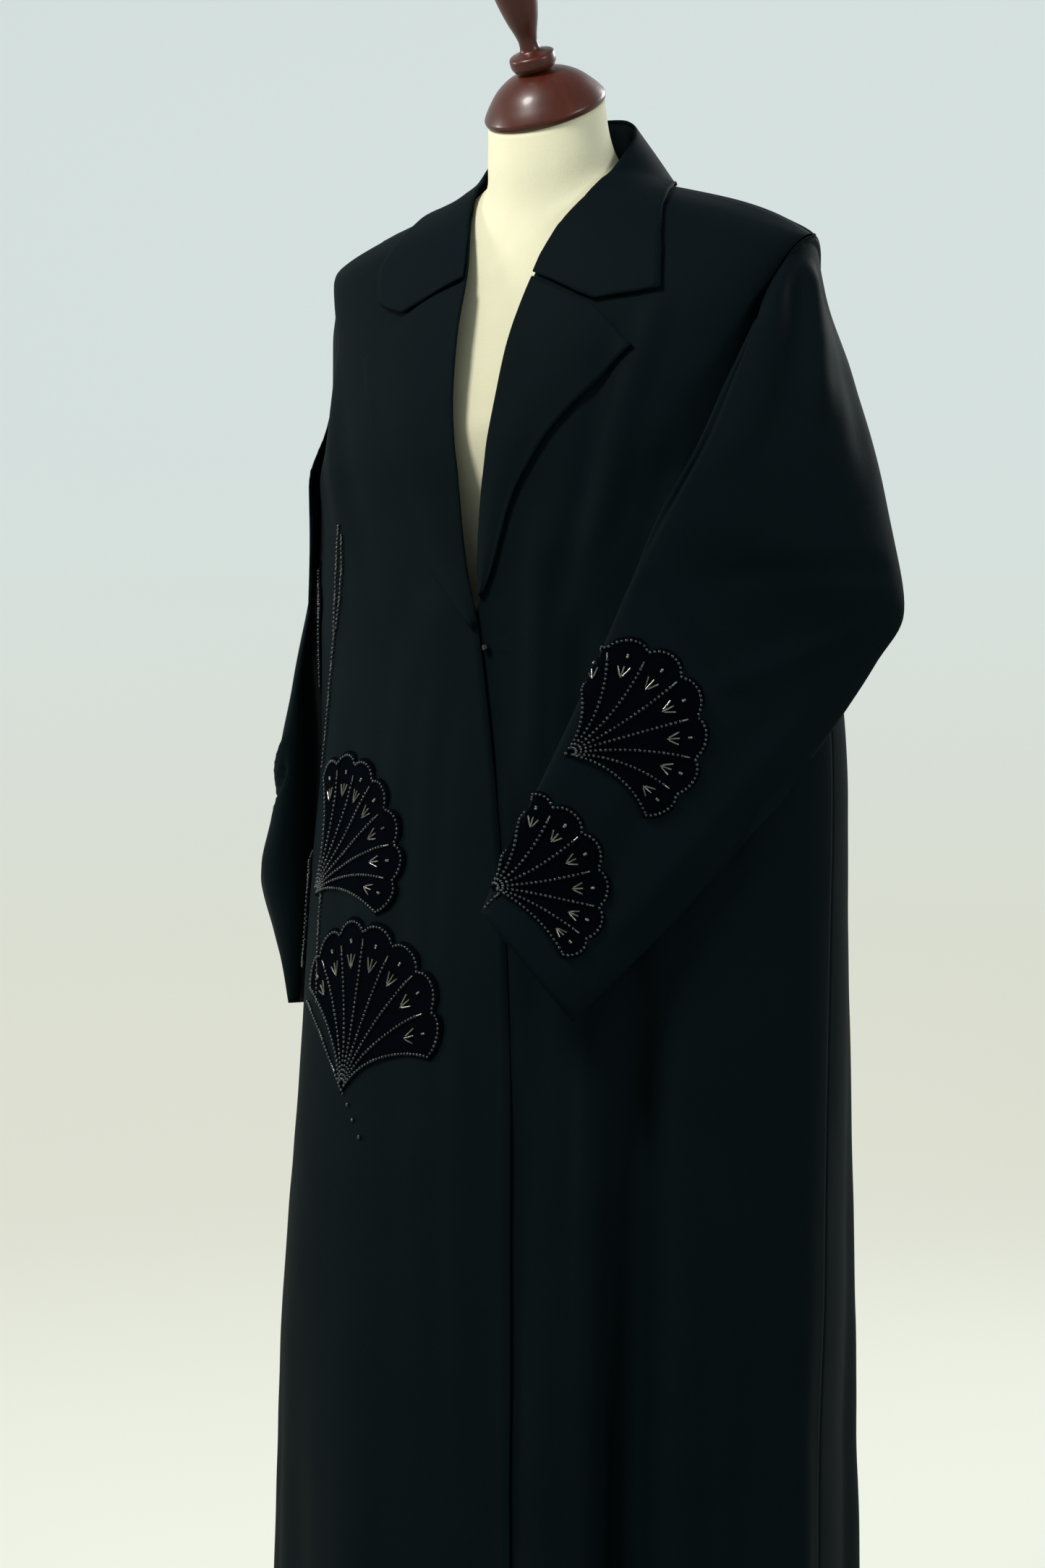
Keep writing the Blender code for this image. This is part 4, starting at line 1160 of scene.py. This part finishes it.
def placed(name, points, faces, material, node=None):
    """A smooth mesh with its material, on the frame's one body, in place of its CAD node."""
    made_of = mesh_object(name, points, faces)
    made_of.data.materials.append(material)
    made_of.data.shade_smooth()
    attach(made_of, "root")
    if node:
        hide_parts(node)
    return made_of


def cloth_sheet(name, grid, material, thickness, outward=True, closed=False, node=None):
    """A finished sheet of cloth that stands for its CAD node."""
    faces = grid_faces(len(grid), len(grid[0]), closed)
    made_of = placed(name, [p for line in grid for p in line], faces, material, node)
    wall = made_of.modifiers.new("Wall", "SOLIDIFY")
    wall.thickness = thickness
    wall.offset = 1 if outward else -1
    return made_of


def fine_rows():
    """Rows of the body panels, close together."""
    angles = range(0, 181, ARMHOLE_STEP)
    rows = [float(np.interp(angle, [line[0] for line in YOKE], range(len(YOKE)))) for angle in angles]
    levels = (LAST_ROW - UNDERARM_ROW) * ROWS_PER_LEVEL
    return rows + [UNDERARM_ROW + (i + 1) / ROWS_PER_LEVEL for i in range(levels)]


def body_sheet(name, grid):
    """The panel's creases, kept off the seams, where it stays as the CAD panel is."""
    depth = settings().creases
    last = len(grid[0]) - 1
    front_edge = {"left_front": 0, "right_front": last}.get(name)
    amounts = []
    for i, line in enumerate(grid):
        row = []
        for j, p in enumerate(line):
            to_seam = min(j, last - j) if front_edge is None else abs((last - front_edge) - j)
            share = depth * ease(to_seam / CREASE_COLUMNS) * ease(i / CREASE_ROWS)
            row.append(share * (body_crease(name, p) + unevenness(p)))
        amounts.append(row)
    return creased(grid, amounts)


def evened(grid, rows):
    """The grid with its columns evened out near the underarm's row, but not at the armhole."""
    points = np.array([[tuple(p) for p in line] for line in grid])
    near = np.clip(1 - np.abs(np.array(rows[1:-1]) - UNDERARM_ROW) / EVEN_ROWS, 0, 1)
    last = len(grid[0]) - 1
    inside = np.array([ease(min(j, last - j) / EVEN_COLUMNS) for j in range(last + 1)])
    share = (near[:, None] * inside[None, :])[:, :, None]
    for _ in range(EVEN_ROUNDS):
        middle = (points[:-2] + points[2:]) / 2
        points[1:-1] += (middle - points[1:-1]) * share * EVEN_PULL
    return [[Vector(p) for p in line] for line in points]


class CLOAK_OT_panels(bpy.types.Operator):
    """Makes the back and both fronts"""

    bl_idname = "cloak.panels"
    bl_label = "Back and fronts"

    def execute(self, context):
        crepe = made["crepe"] = crepe_material()
        form = made["form_tree"] = tree_of([[ring + ring[:1] for ring in form_rings(TREE_AROUND)]])
        rows = fine_rows()
        grids = {
            "left_front": front_grid(1, rows, LEFT_COLUMNS, form),
            "right_front": front_grid(-1, rows, RIGHT_COLUMNS, form),
            "back": back_grid(rows, BACK_COLUMNS, form),
        }
        for name, grid in grids.items():
            grids[name] = body_sheet(name, evened(grid, rows))
            piece = cloth_sheet(name + "_cloth", grids[name], crepe, CLOTH, node=name)
        made["body"] = tree_of(list(grids.values()))
        made["fronts"] = tree_of([grids["left_front"], grids["right_front"]])
        return {"FINISHED"}


class CLOAK_OT_sleeves(bpy.types.Operator):
    """Makes both sleeves"""

    bl_idname = "cloak.sleeves"
    bl_label = "Sleeves"

    def execute(self, context):
        alongs = [(i / SLEEVE_ROWS) ** SLEEVE_CROWDING for i in range(SLEEVE_ROWS + 1)]
        around = 360 // ARMHOLE_STEP
        for side, name, rings in ((1, "left_sleeve", LEFT_SLEEVE), (-1, "right_sleeve", RIGHT_SLEEVE)):
            grid = sleeve_grid(side, rings, alongs, around, made["body"])
            amounts = []
            for along, line in zip(alongs, grid):
                row = []
                for j, p in enumerate(line):
                    turn = (around - 1 - j) if side > 0 else j
                    degrees = (90 + 360 * turn / around) % 360
                    crease = sleeve_crease(name, along, degrees) + unevenness(p)
                    row.append(settings().creases * crease * ease(along / SLEEVE_HEAD))
                amounts.append(row)
            grid = creased(grid, amounts, closed=True)
            piece = cloth_sheet(
                name + "_cloth", grid, made["crepe"], CLOTH, outward=False, closed=True, node=name
            )
            made[name] = tree_of([[line + line[:1] for line in grid]])
        return {"FINISHED"}


def lapel_lines(side, rows):
    """Roll and outer points of a lapel, smooth up to its tip and straight from there to the notch."""
    last = len(rows) - 1
    ats = [(last - 1) * i / LAPEL_LINES for i in range(LAPEL_LINES)]
    ats += [last - 1 + i / NOTCH_LINES for i in range(NOTCH_LINES + 1)]
    lines = []
    for at in ats:
        if at < last - 1:
            z_roll, z_outer, x_outer = smooth(np.arange(last), rows[:-1], at)
        else:
            z_roll, z_outer, x_outer = (np.interp(at, range(last + 1), column) for column in zip(*rows))
        lines.append((edge_x(side, float(z_roll)), float(z_roll), float(x_outer), float(z_outer)))
    return lines


def fine_lapel(side, rows):
    """Grid of a lapel with its soft rolled edge."""
    grid = []
    for x_roll, z_roll, x_outer, z_outer in lapel_lines(side, rows):
        line = []
        for j in range(LAPEL_ACROSS + 1):
            t = j / LAPEL_ACROSS
            x = x_roll + (x_outer - x_roll) * t
            z = z_roll + (z_outer - z_roll) * t
            round_way = math.pi * LAPEL_ARCH * min(t * LAPEL_ARCH_START, 1.0)
            lift = CLOTH + LAPEL_FOOT + LAPEL_LIFT * math.sin(round_way)
            line.append(off(made["fronts"], front_at(side, x, z, made["form_tree"]), lift))
        grid.append(line)
    grid = relaxed(grid, EVEN_LAPEL)
    for line in grid:
        towards = (line[0] - line[1]).normalized()
        line[:0] = curl(line[0], towards, Vector((0, 1, 0)))
    return grid if side > 0 else [line[::-1] for line in grid]


def curl(edge, towards, inward):
    """Points that turn a cloth edge over: past the edge, then inward."""
    points = []
    for degrees in CURL_ANGLES:
        a = math.radians(degrees)
        points.append(edge + (towards * math.sin(a) + inward * (1 - math.cos(a))) * CURL_RADIUS)
    return points


def neck_inward(point):
    """The level way from a point of the collar in to the middle of the neck."""
    return Vector((-point.x, NECK_MIDDLE_Y - point.y, 0)).normalized()


def fine_collar():
    """Grids of the collar's fall and stand."""
    corners = [row[0] for row in COLLAR[:STRAIGHT_ROWS]]
    places = []
    for a, b in zip(corners, corners[1:]):
        places += [a + (b - a) * i / NOTCH_LINES for i in range(NOTCH_LINES)]
    places += list(np.linspace(corners[-1], 1, COLLAR_PLACES))
    straight = collar_half(COLLAR_ACROSS, corners)
    half = collar_half(COLLAR_ACROSS, places)
    for k in range(NOTCH_LINES * (STRAIGHT_ROWS - 1)):
        at = k / NOTCH_LINES
        half[k] = [a.lerp(b, at % 1) for a, b in zip(straight[int(at)], straight[int(at) + 1])]
    for line in half:
        for j, p in enumerate(line):
            clear = off(made["form_tree"], p, FORM_CLEARANCE + CLOTH + ROLL_LIFT)
            line[j] = off(made["body"], clear, FALL_FOOT + (FALL_LIFT - FALL_FOOT) * min(j / FALL_LINES, 1))
    half = relaxed(half, EVEN_COLLAR)
    stand = []
    for place, line in zip(places, half):
        if place < STAND_START:
            continue
        top = line[0] + Vector((0, 0, -STAND_DROP))
        top = off(made["form_tree"], top + neck_inward(top) * STAND_INSET, STAND_CLEARANCE)
        seam = neck_seam(place)
        stand.append([seam.lerp(top, t) for t in STAND_LINES])
    for line in half:
        towards = (line[0] - line[1]).normalized()
        line[:0] = curl(line[0], towards, neck_inward(line[0]))[2:]
    return both_sides(half, places), both_sides(stand, places[-len(stand) :])


class CLOAK_OT_collar(bpy.types.Operator):
    """Makes the lapels and the collar"""

    bl_idname = "cloak.collar"
    bl_label = "Lapels and collar"

    def execute(self, context):
        fall, stand = fine_collar()
        pieces = (
            ("left_lapel", "lapel", fine_lapel(1, LEFT_LAPEL), ["left_front_cloth"]),
            ("right_lapel", "lapel", fine_lapel(-1, RIGHT_LAPEL), ["right_front_cloth"]),
            ("collar_fall", "collar_fall", fall, ["back_cloth", "left_front_cloth"]),
            ("collar_stand", "collar_stand", stand, ["back_cloth"]),
        )
        for name, cut, grid, rests_on in pieces:
            piece = cloth_sheet(name + "_cloth", grid, made["crepe"], CLOTH, node=name)
        return {"FINISHED"}


def sleeve_map(up):
    """Points round the left sleeve at a height above the cuff, with their way from the front fold."""
    along = 1 - up / SLEEVE_LENGTH
    points = [sleeve_point(1, LEFT_SLEEVE, along, 180 - turn) for turn in SLEEVE_TURNS]
    return points, SLEEVE_TURNS.index(0)


def front_map(up):
    """Points round the right front at a height, with their way from the centre line."""
    row = row_at(up)
    return [round_body(row, degrees) for degrees in FRONT_TURNS], FRONT_TURNS.index(0)


def surface_chart(points_at, low, high, steps):
    """Reads points_at at steps heights. Returns place(across, up), measured along the cloth."""
    heights = np.linspace(low, high, steps)
    lines = []
    for up in heights:
        points, zero = points_at(up)
        points = np.array([tuple(p) for p in points])
        way = np.concatenate([[0], np.cumsum(np.linalg.norm(np.diff(points, axis=0), axis=1))])
        lines.append((way - way[zero], points))

    def place(across, up):
        at = float(np.clip((up - low) / (high - low) * (steps - 1), 0, steps - 1.001))
        k = int(at)
        ends = []
        for way, points in (lines[k], lines[k + 1]):
            ends.append(np.array([np.interp(across, way, points[:, axis]) for axis in range(3)]))
        return Vector(ends[0] * (1 - (at - k)) + ends[1] * (at - k))

    return place


def fine_leaf(spec, place, mirror, tree, lift):
    """Points of a leaf's underside: a line for each step out, a column for each step across."""
    name, across0, up0, turn, spread, length = spec
    columns = LEAF_LOBES * LEAF_ACROSS
    grid = []
    for i in range(LEAF_OUT + 1):
        out = LEAF_FOOT + (1 - LEAF_FOOT) * i / LEAF_OUT
        line = []
        for j in range(columns + 1):
            across = 2 * j / columns - 1
            longer = 1 + LEAF_REACH.get(name, 0) * ease(across)
            sideways, up = turned(*leaf_plan(across, out, spread, length * longer), turn)
            line.append(lifted(tree, place(across0 + mirror * sideways, up0 + up), lift))
        grid.append(line[::-1])
    return relaxed(grid, EVEN_LAPEL)


def on_leaf(grid, normals, across, out, lift):
    """A point above the leaf: across -1 to 1, out 0 to 1."""
    rows = len(grid) - 1
    columns = len(grid[0]) - 1
    i = float(np.clip((out - LEAF_FOOT) / (1 - LEAF_FOOT) * rows, 0, rows - 0.001))
    j = float(np.clip((1 - across) / 2 * columns, 0, columns - 0.001))
    a, b = int(i), int(j)
    u, v = i - a, j - b
    points = grid[a][b] * (1 - u) * (1 - v) + grid[a + 1][b] * u * (1 - v)
    points += grid[a][b + 1] * (1 - u) * v + grid[a + 1][b + 1] * u * v
    return points + Vector(normals[a][b]) * lift


class CLOAK_OT_leaves(bpy.types.Operator):
    """Makes the velvet leaves"""

    bl_idname = "cloak.leaves"
    bl_label = "Velvet leaves"

    def execute(self, context):
        velvet = velvet_material()
        made["leaves"] = {}
        below, above, steps = FRONT_CHART
        for spec in FRONT_LEAVES:
            place = surface_chart(front_map, spec[2] + below, spec[2] + above, steps)
            self.add(spec, place, -1, made["body"], CLOTH + VELVET_LIFT, velvet, ["right_front_cloth"])
        place = surface_chart(sleeve_map, *SLEEVE_CHART)
        for spec in SLEEVE_LEAVES:
            self.add(spec, place, 1, made["left_sleeve"], VELVET_LIFT, velvet, ["left_sleeve_cloth"])
        return {"FINISHED"}

    def add(self, spec, place, mirror, tree, lift, velvet, carrier):
        name, _, _, _, spread, length = spec
        grid = fine_leaf(spec, place, mirror, tree, lift)
        piece = cloth_sheet(name + "_velvet", grid, velvet, VELVET, node=name)
        made["leaves"][name] = grid


def new_group(name, *inputs):
    """A node group that takes paths and these. Returns it, what it is given and the curves."""
    group = bpy.data.node_groups.new(name, "GeometryNodeTree")
    for label, kind in (("Geometry", "Geometry"), *inputs):
        group.interface.new_socket(label, in_out="INPUT", socket_type="NodeSocket" + kind)
    group.interface.new_socket("Geometry", in_out="OUTPUT", socket_type="NodeSocketGeometry")
    given = group.nodes.new("NodeGroupInput").outputs
    return group, given, add_node(group, "GeometryNodeMeshToCurve", Mesh=given["Geometry"]).outputs[0]


def end_group(group, geometry, material):
    """Makes real meshes of what the group has made, paints them and hands them out."""
    real = add_node(group, "GeometryNodeRealizeInstances", Geometry=geometry)
    painted = add_node(group, "GeometryNodeSetMaterial", Geometry=real.outputs[0], Material=material)
    group.links.new(painted.outputs[0], group.nodes.new("NodeGroupOutput").inputs[0])
    return group


def bead_group():
    """Geometry Nodes: round beads along every path, a little uneven in size."""
    inputs = (("Pitch", "Float"), ("Diameter", "Float"), ("Seed", "Int"), ("Material", "Material"))
    group, given, paths = new_group("Beads on paths", *inputs)
    spaced = add_node(
        group, "GeometryNodeResampleCurve", mode="LENGTH", Curve=paths, Length=given["Pitch"]
    )
    ball = add_node(group, "GeometryNodeMeshUVSphere", Segments=10, Rings=7, Radius=0.5)
    smooth_ball = add_node(group, "GeometryNodeSetShadeSmooth", Geometry=ball.outputs[0])
    uneven = add_node(group, "FunctionNodeRandomValue", data_type="FLOAT", Seed=given["Seed"])
    uneven.inputs[2].default_value, uneven.inputs[3].default_value = BEAD_SIZES
    size = calculated(group, "MULTIPLY", uneven.outputs[1], given["Diameter"])
    tangent = group.nodes.new("GeometryNodeInputTangent").outputs[0]
    turn = add_node(group, "FunctionNodeAlignRotationToVector", axis="Z", Vector=tangent)
    beads = add_node(
        group,
        "GeometryNodeInstanceOnPoints",
        Points=spaced.outputs[0],
        Instance=smooth_ball.outputs[0],
        Rotation=turn.outputs[0],
        Scale=size.outputs[0],
    )
    return end_group(group, beads.outputs[0], given["Material"])


def bugle_group():
    """Geometry Nodes: one closed glass tube along every path."""
    group, given, paths = new_group("Bugles on paths", ("Diameter", "Float"), ("Material", "Material"))
    radius = calculated(group, "MULTIPLY", given["Diameter"], 0.5).outputs[0]
    ring = add_node(group, "GeometryNodeCurvePrimitiveCircle", Resolution=8, Radius=radius)
    tubes = add_node(
        group, "GeometryNodeCurveToMesh", Curve=paths, Fill_Caps=True, Profile_Curve=ring.outputs[0]
    )
    return end_group(group, tubes.outputs[0], given["Material"])


def run_group(name, group, paths, slot="black_glass", **values):
    """Runs a node group on paths, and keeps what it makes as a plain mesh."""
    points = []
    edges = []
    for path in paths:
        start = len(points)
        points += path
        edges += [(start + i, start + i + 1) for i in range(len(path) - 1)]
    made_of = mesh_object(name, points, [], edges)
    modifier = made_of.modifiers.new("Beads", "NODES")
    modifier.node_group = group
    for socket in group.interface.items_tree:
        if socket.in_out == "INPUT" and socket.name in values:
            modifier[socket.identifier] = values[socket.name]
    graph = bpy.context.evaluated_depsgraph_get()
    mesh = bpy.data.meshes.new_from_object(made_of.evaluated_get(graph))
    made_of.modifiers.remove(modifier)
    made_of.data = mesh
    mesh.name = name
    if len(mesh.polygons) == 0:
        raise RuntimeError(name + " came out empty")
    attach(made_of, "root")
    return made_of


def camera_ways():
    """The level ways to the right of the photo's camera and ahead of it."""
    a = math.radians(CAMERA_AZIMUTH)
    return Vector((math.cos(a), math.sin(a), 0)), Vector((-math.sin(a), math.cos(a), 0))


def camera_place():
    """Where the photo's camera stands."""
    right, ahead = camera_ways()
    return -ahead * CAMERA_DISTANCE - right * CAMERA_ASIDE + Vector((0, 0, CAMERA_HEIGHT))


def seen_at(place, tree, lift):
    """The point of a surface that the photo shows at this pixel, or the nearest to it, moved out."""
    right, ahead = camera_ways()
    eye = camera_place()
    scale = CAMERA_LENS / SENSOR * PHOTO_SIZE[1]
    x = (place[0] - PHOTO_SIZE[0] / 2) / scale
    y = (PHOTO_SIZE[1] / 2 - place[1]) / scale
    way = ahead + right * x + Vector((0, 0, y))
    hit, normal, _, _ = tree.ray_cast(eye, way.normalized())
    if hit is None:
        hit, normal, _, _ = tree.find_nearest(eye + way * CAMERA_DISTANCE)
    return hit + normal * lift


def leaf_paths(grid, radius):
    """Seed bead paths, bugles and crystals of one leaf."""
    normals = grid_normals(grid)
    lift = VELVET + radius * BEAD_SINK

    def at(across, out):
        return on_leaf(grid, normals, across, out, lift)

    def vein(across, end, points):
        return [at(across, VEIN_START + (end - VEIN_START) * i / VEIN_STEPS) for i in range(points)]

    seeds = [[at(RIM_SIDE * (2 * i / RIM_STEPS - 1), RIM_OUT) for i in range(RIM_STEPS + 1)]]
    seeds += [vein(side, RIM_OUT, VEIN_STEPS) for side in (-RIM_SIDE, RIM_SIDE)]
    bugles = []
    crystals = []
    for k in range(VEINS):
        across = -1 + 2 * (k + 1) / (VEINS + 1)
        reach = VEIN_END - SHORTER_VEIN * (k % 2)
        seeds.append(vein(across, reach, VEIN_STEPS + 1))
        bugles.append([at(across, reach + further) for further in VEIN_BUGLE])
    low, middle, high = MOTIF_OUT
    for k in range(LEAF_LOBES):
        across = -1 + 2 * (k + 0.5) / LEAF_LOBES
        bugles.append([at(across, low), at(across, middle)])
        for wing in (-MOTIF_WING, MOTIF_WING):
            bugles.append([at(across + wing, middle), at(across + wing / 4, low + MOTIF_STEP)])
        crystals.append([at(across, high), at(across, high + MOTIF_STEP)])
    return seeds, bugles, crystals


class CLOAK_OT_beads(bpy.types.Operator):
    """Sews the beads on the leaves and along their stems"""

    bl_idname = "cloak.beads"
    bl_label = "Beads"

    def execute(self, context):
        sizes = settings()
        gunmetal = glass_material("gunmetal_glass", sizes.glass, 0.20, 0.35)
        seed = {"Diameter": sizes.bead, "Material": gunmetal}
        crystal = glass_material("crystal_glass", sizes.crystal, 0.10, 0.5)
        bugle = {"Diameter": sizes.bugle, "Material": crystal}
        beads = bead_group()
        tubes = bugle_group()
        radius = sizes.bead / 2
        for number, (name, grid) in enumerate(made["leaves"].items()):
            seeds, bugles, crystals = leaf_paths(grid, radius)
            short = name.replace("leaf_", "")
            run_group("seed_beads_" + short, beads, seeds, Pitch=sizes.pitch, Seed=number, **seed)
            run_group("bugles_" + short, tubes, bugles, **bugle)
            run_group(
                "crystals_" + short,
                beads,
                crystals,
                Pitch=CRYSTAL_PITCH,
                Diameter=CRYSTAL,
                Seed=number + CRYSTAL_SEED,
                Material=crystal,
            )
        surfaces = {"front": (made["body"], CLOTH), "sleeve": (made["left_sleeve"], 0.0)}
        strands = []
        pieces = []
        for surface, places in STRANDS:
            tree, cloth = surfaces[surface]
            points = [seen_at(place, tree, cloth + radius) for place in places]
            strands.append(points)
            pieces += [[a, a.lerp(b, STEM_BUGLE)] for a, b in zip(points, points[1:])]
        run_group("stem_beads", beads, strands, Pitch=sizes.pitch, Seed=STEM_SEED, **seed)
        run_group("stem_bugles", tubes, pieces, **bugle)
        tail = [seen_at(place, made["body"], CLOTH + radius) for place in TAIL_BEADS]
        tail = [[p, p + Vector((0, 0, TAIL_PATH))] for p in tail]
        run_group("tail_beads", beads, tail, Pitch=TAIL_PITCH, Seed=STEM_SEED + 1, **seed)
        gloss = new_material(
            "black_bead_glass", linear("#050506"), Roughness=0.08, Specular_IOR_Level=0.6, Coat_Weight=0.6
        )[0]
        repaint("button", gloss)
        return {"FINISHED"}


def repaint(name, material):
    """Gives a CAD node that stays in the picture its material."""
    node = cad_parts[name]
    node.data.materials.clear()
    node.data.materials.append(material)
    return node


def lathe(name, profile, steps, material, node, at, tilt):
    """A turned piece from radius and height, top down, rounded between its first and last points."""
    body = profile[1:-1]
    lines = []
    for i in range((len(body) - 1) * LATHE_BETWEEN + 1):
        r, z = smooth(np.arange(len(body)), body, i / LATHE_BETWEEN)
        line = []
        for j in range(steps):
            a = 2 * math.pi * j / steps
            p = Vector((r * math.cos(a), r * math.sin(a), z))
            p.yz = p.y * math.cos(tilt) - p.z * math.sin(tilt), p.y * math.sin(tilt) + p.z * math.cos(tilt)
            line.append(p + at)
        lines.append(line)
    return finished_solid(name, lines, material, node)


def finished_solid(name, rings, material, node):
    """A closed piece through rings of points, with a flat end at each side."""
    around = len(rings[0])
    points = [p for ring in rings for p in ring]
    faces = grid_faces(len(rings), around, closed=True)
    faces.append(tuple(range(around)))
    faces.append(tuple(range(len(points) - 1, len(points) - around - 1, -1)))
    return placed(name, points, faces, material, node)


class CLOAK_OT_form(bpy.types.Operator):
    """Makes the dress form and its stand"""

    bl_idname = "cloak.form"
    bl_label = "Dress form and stand"

    def execute(self, context):
        rings = form_rings(FORM_AROUND, FORM_BETWEEN)
        finished_solid("form_cover", rings, jersey_material(), "form_torso")
        wood = wood_material()
        axis = Vector((0, -math.sin(NECK_TILT), math.cos(NECK_TILT)))
        cap_foot = Vector((0, NECK_TOP_Y, NECK_TOP_Z)) + axis * CAP_GAP
        lathed = (("neck_cap", CAP, CAP_AROUND, 0.0), ("finial", SPINDLE, FINIAL_AROUND, CAP_HEIGHT))
        for name, profile, steps, up in lathed:
            lathe(name + "_wood", profile, steps, wood, name, cap_foot + axis * up, NECK_TILT)
        for name in ("stand_pole", "stand_base"):
            for face in repaint(name, wood).data.polygons:
                face.use_smooth = False
        return {"FINISHED"}


class CLOAK_OT_stage(bpy.types.Operator):
    """Sets the floor, the backdrop, the lights and the photo's camera"""

    bl_idname = "cloak.stage"
    bl_label = "Studio"

    def execute(self, context):
        self.add_paper()
        for light in LIGHTS:
            self.add_light(*light)
        world = bpy.data.worlds.new("studio_world")
        world.use_nodes = True
        sky = world.node_tree.nodes["Background"]
        sky.inputs["Color"].default_value = WORLD_TINT
        sky.inputs["Strength"].default_value = WORLD_STRENGTH
        context.scene.world = world
        context.scene.view_settings.view_transform = "Standard"
        self.add_camera(context)
        return {"FINISHED"}

    def add_paper(self):
        """Floor and wall in one sheet that bends up all round."""
        profile = [(1.5, 0.0), (3.0, 0.0), (PAPER_FLOOR, 0.0)]
        for a in np.linspace(0.15, math.pi / 2, 14):
            profile.append((PAPER_FLOOR + PAPER_BEND * math.sin(a), PAPER_BEND - PAPER_BEND * math.cos(a)))
        profile += [(PAPER_FLOOR + PAPER_BEND, z) for z in PAPER_HEIGHTS]
        points = []
        for r, z in profile:
            for j in range(PAPER_AROUND):
                a = 2 * math.pi * j / PAPER_AROUND
                points.append((r * math.cos(a), r * math.sin(a), z - PAPER_DROP))
        faces = grid_faces(len(profile), PAPER_AROUND, closed=True)
        faces.append(tuple(range(PAPER_AROUND)))
        sweep = mesh_object("studio_sweep", points, faces)
        sweep.data.materials.append(self.glowing_paper_material())
        sweep.data.shade_smooth()

    def glowing_paper_material(self):
        """Matt paper with a painted glow: emitted light that stands in for lamp light on the backdrop,
        warmer low down and brightest behind the cloak.
        """
        base = settings().backdrop
        # The paper's own colour is dimmed, and the painted glow gives the rest of its brightness
        colour = [c * PAPER_SHARE for c in base]
        paper, tree, shader, places = new_material(
            "backdrop_paper_painted_glow", colour, Roughness=0.9, Specular_IOR_Level=0.0
        )
        # Painted light: the colour of the emitted glow, warmer low down
        height = add_node(tree, "ShaderNodeSeparateXYZ", Vector=places).outputs["Z"]
        rise = add_node(tree, "ShaderNodeMapRange", Value=height, From_Max=GLOW_RISE)
        ramp = add_node(tree, "ShaderNodeValToRGB", Fac=rise.outputs["Result"])
        ramp.color_ramp.interpolation = "EASE"
        ramp.color_ramp.elements[0].color = (*(c * w for c, w in zip(base, LOW_WARMTH)), 1)
        ramp.color_ramp.elements[1].color = (*base, 1)
        tree.links.new(ramp.outputs["Color"], shader.inputs["Emission Color"])
        # Painted light: the glow is strongest on the wall behind the cloak, a painted pool of lamp light
        _, ahead = camera_ways()
        vector_math = "ShaderNodeVectorMath"
        level = calculated(tree, "MULTIPLY", places, (1, 1, 0), kind=vector_math)
        way = calculated(tree, "NORMALIZE", level.outputs[0], kind=vector_math)
        behind = calculated(tree, "DOT_PRODUCT", way.outputs[0], tuple(ahead), kind=vector_math)
        share = add_node(
            tree,
            "ShaderNodeMapRange",
            interpolation_type="SMOOTHSTEP",
            Value=behind.outputs["Value"],
            To_Min=GLOW * GLOW_ELSEWHERE,
            To_Max=GLOW,
        )
        tree.links.new(share.outputs["Result"], shader.inputs["Emission Strength"])
        return paper

    def add_light(self, name, azimuth, distance, height, size, power, tint):
        lamp = bpy.data.lights.new(name, "AREA")
        lamp.shape = "DISK"
        lamp.size = size
        lamp.energy = power
        lamp.color = tint
        shining = bpy.data.objects.new(name, lamp)
        bpy.context.scene.collection.objects.link(shining)
        a = math.radians(azimuth)
        shining.location = (distance * math.sin(a), -distance * math.cos(a), height)
        aim = Vector((0, 0, LIGHT_AIM_Z)) - shining.location
        shining.rotation_euler = aim.to_track_quat("-Z", "Y").to_euler()

    def add_camera(self, context):
        camera = bpy.data.cameras.new("photo_camera")
        camera.sensor_fit = "VERTICAL"
        camera.sensor_height = SENSOR
        camera.lens = CAMERA_LENS
        view = bpy.data.objects.new("photo_camera", camera)
        context.scene.collection.objects.link(view)
        view.location = camera_place()
        view.rotation_euler = (math.pi / 2, 0, math.radians(CAMERA_AZIMUTH))
        context.scene.camera = view


class CLOAK_PT_sidebar(bpy.types.Panel):
    """Sizes, colours and steps"""

    bl_idname = "CLOAK_PT_sidebar"
    bl_label = "Cloak"
    bl_space_type = "VIEW_3D"
    bl_region_type = "UI"
    bl_category = "Cloak"

    def draw(self, context):
        for name in CloakSettings.__annotations__:
            self.layout.prop(context.scene.cloak_settings, name)
        for step in STEPS:
            self.layout.operator(step.bl_idname)


STEPS = (
    CLOAK_OT_panels,
    CLOAK_OT_sleeves,
    CLOAK_OT_collar,
    CLOAK_OT_leaves,
    CLOAK_OT_beads,
    CLOAK_OT_form,
    CLOAK_OT_stage,
)


def register():
    for one in (CloakSettings, *STEPS, CLOAK_PT_sidebar):
        bpy.utils.register_class(one)
    bpy.types.Scene.cloak_settings = bpy.props.PointerProperty(type=CloakSettings)


def unregister():
    del bpy.types.Scene.cloak_settings
    for one in (CLOAK_PT_sidebar, *reversed(STEPS), CloakSettings):
        bpy.utils.unregister_class(one)


def main():
    register()
    for step in STEPS:
        group, name = step.bl_idname.split(".")
        getattr(getattr(bpy.ops, group), name)()


if __name__ == "__main__":
    main()
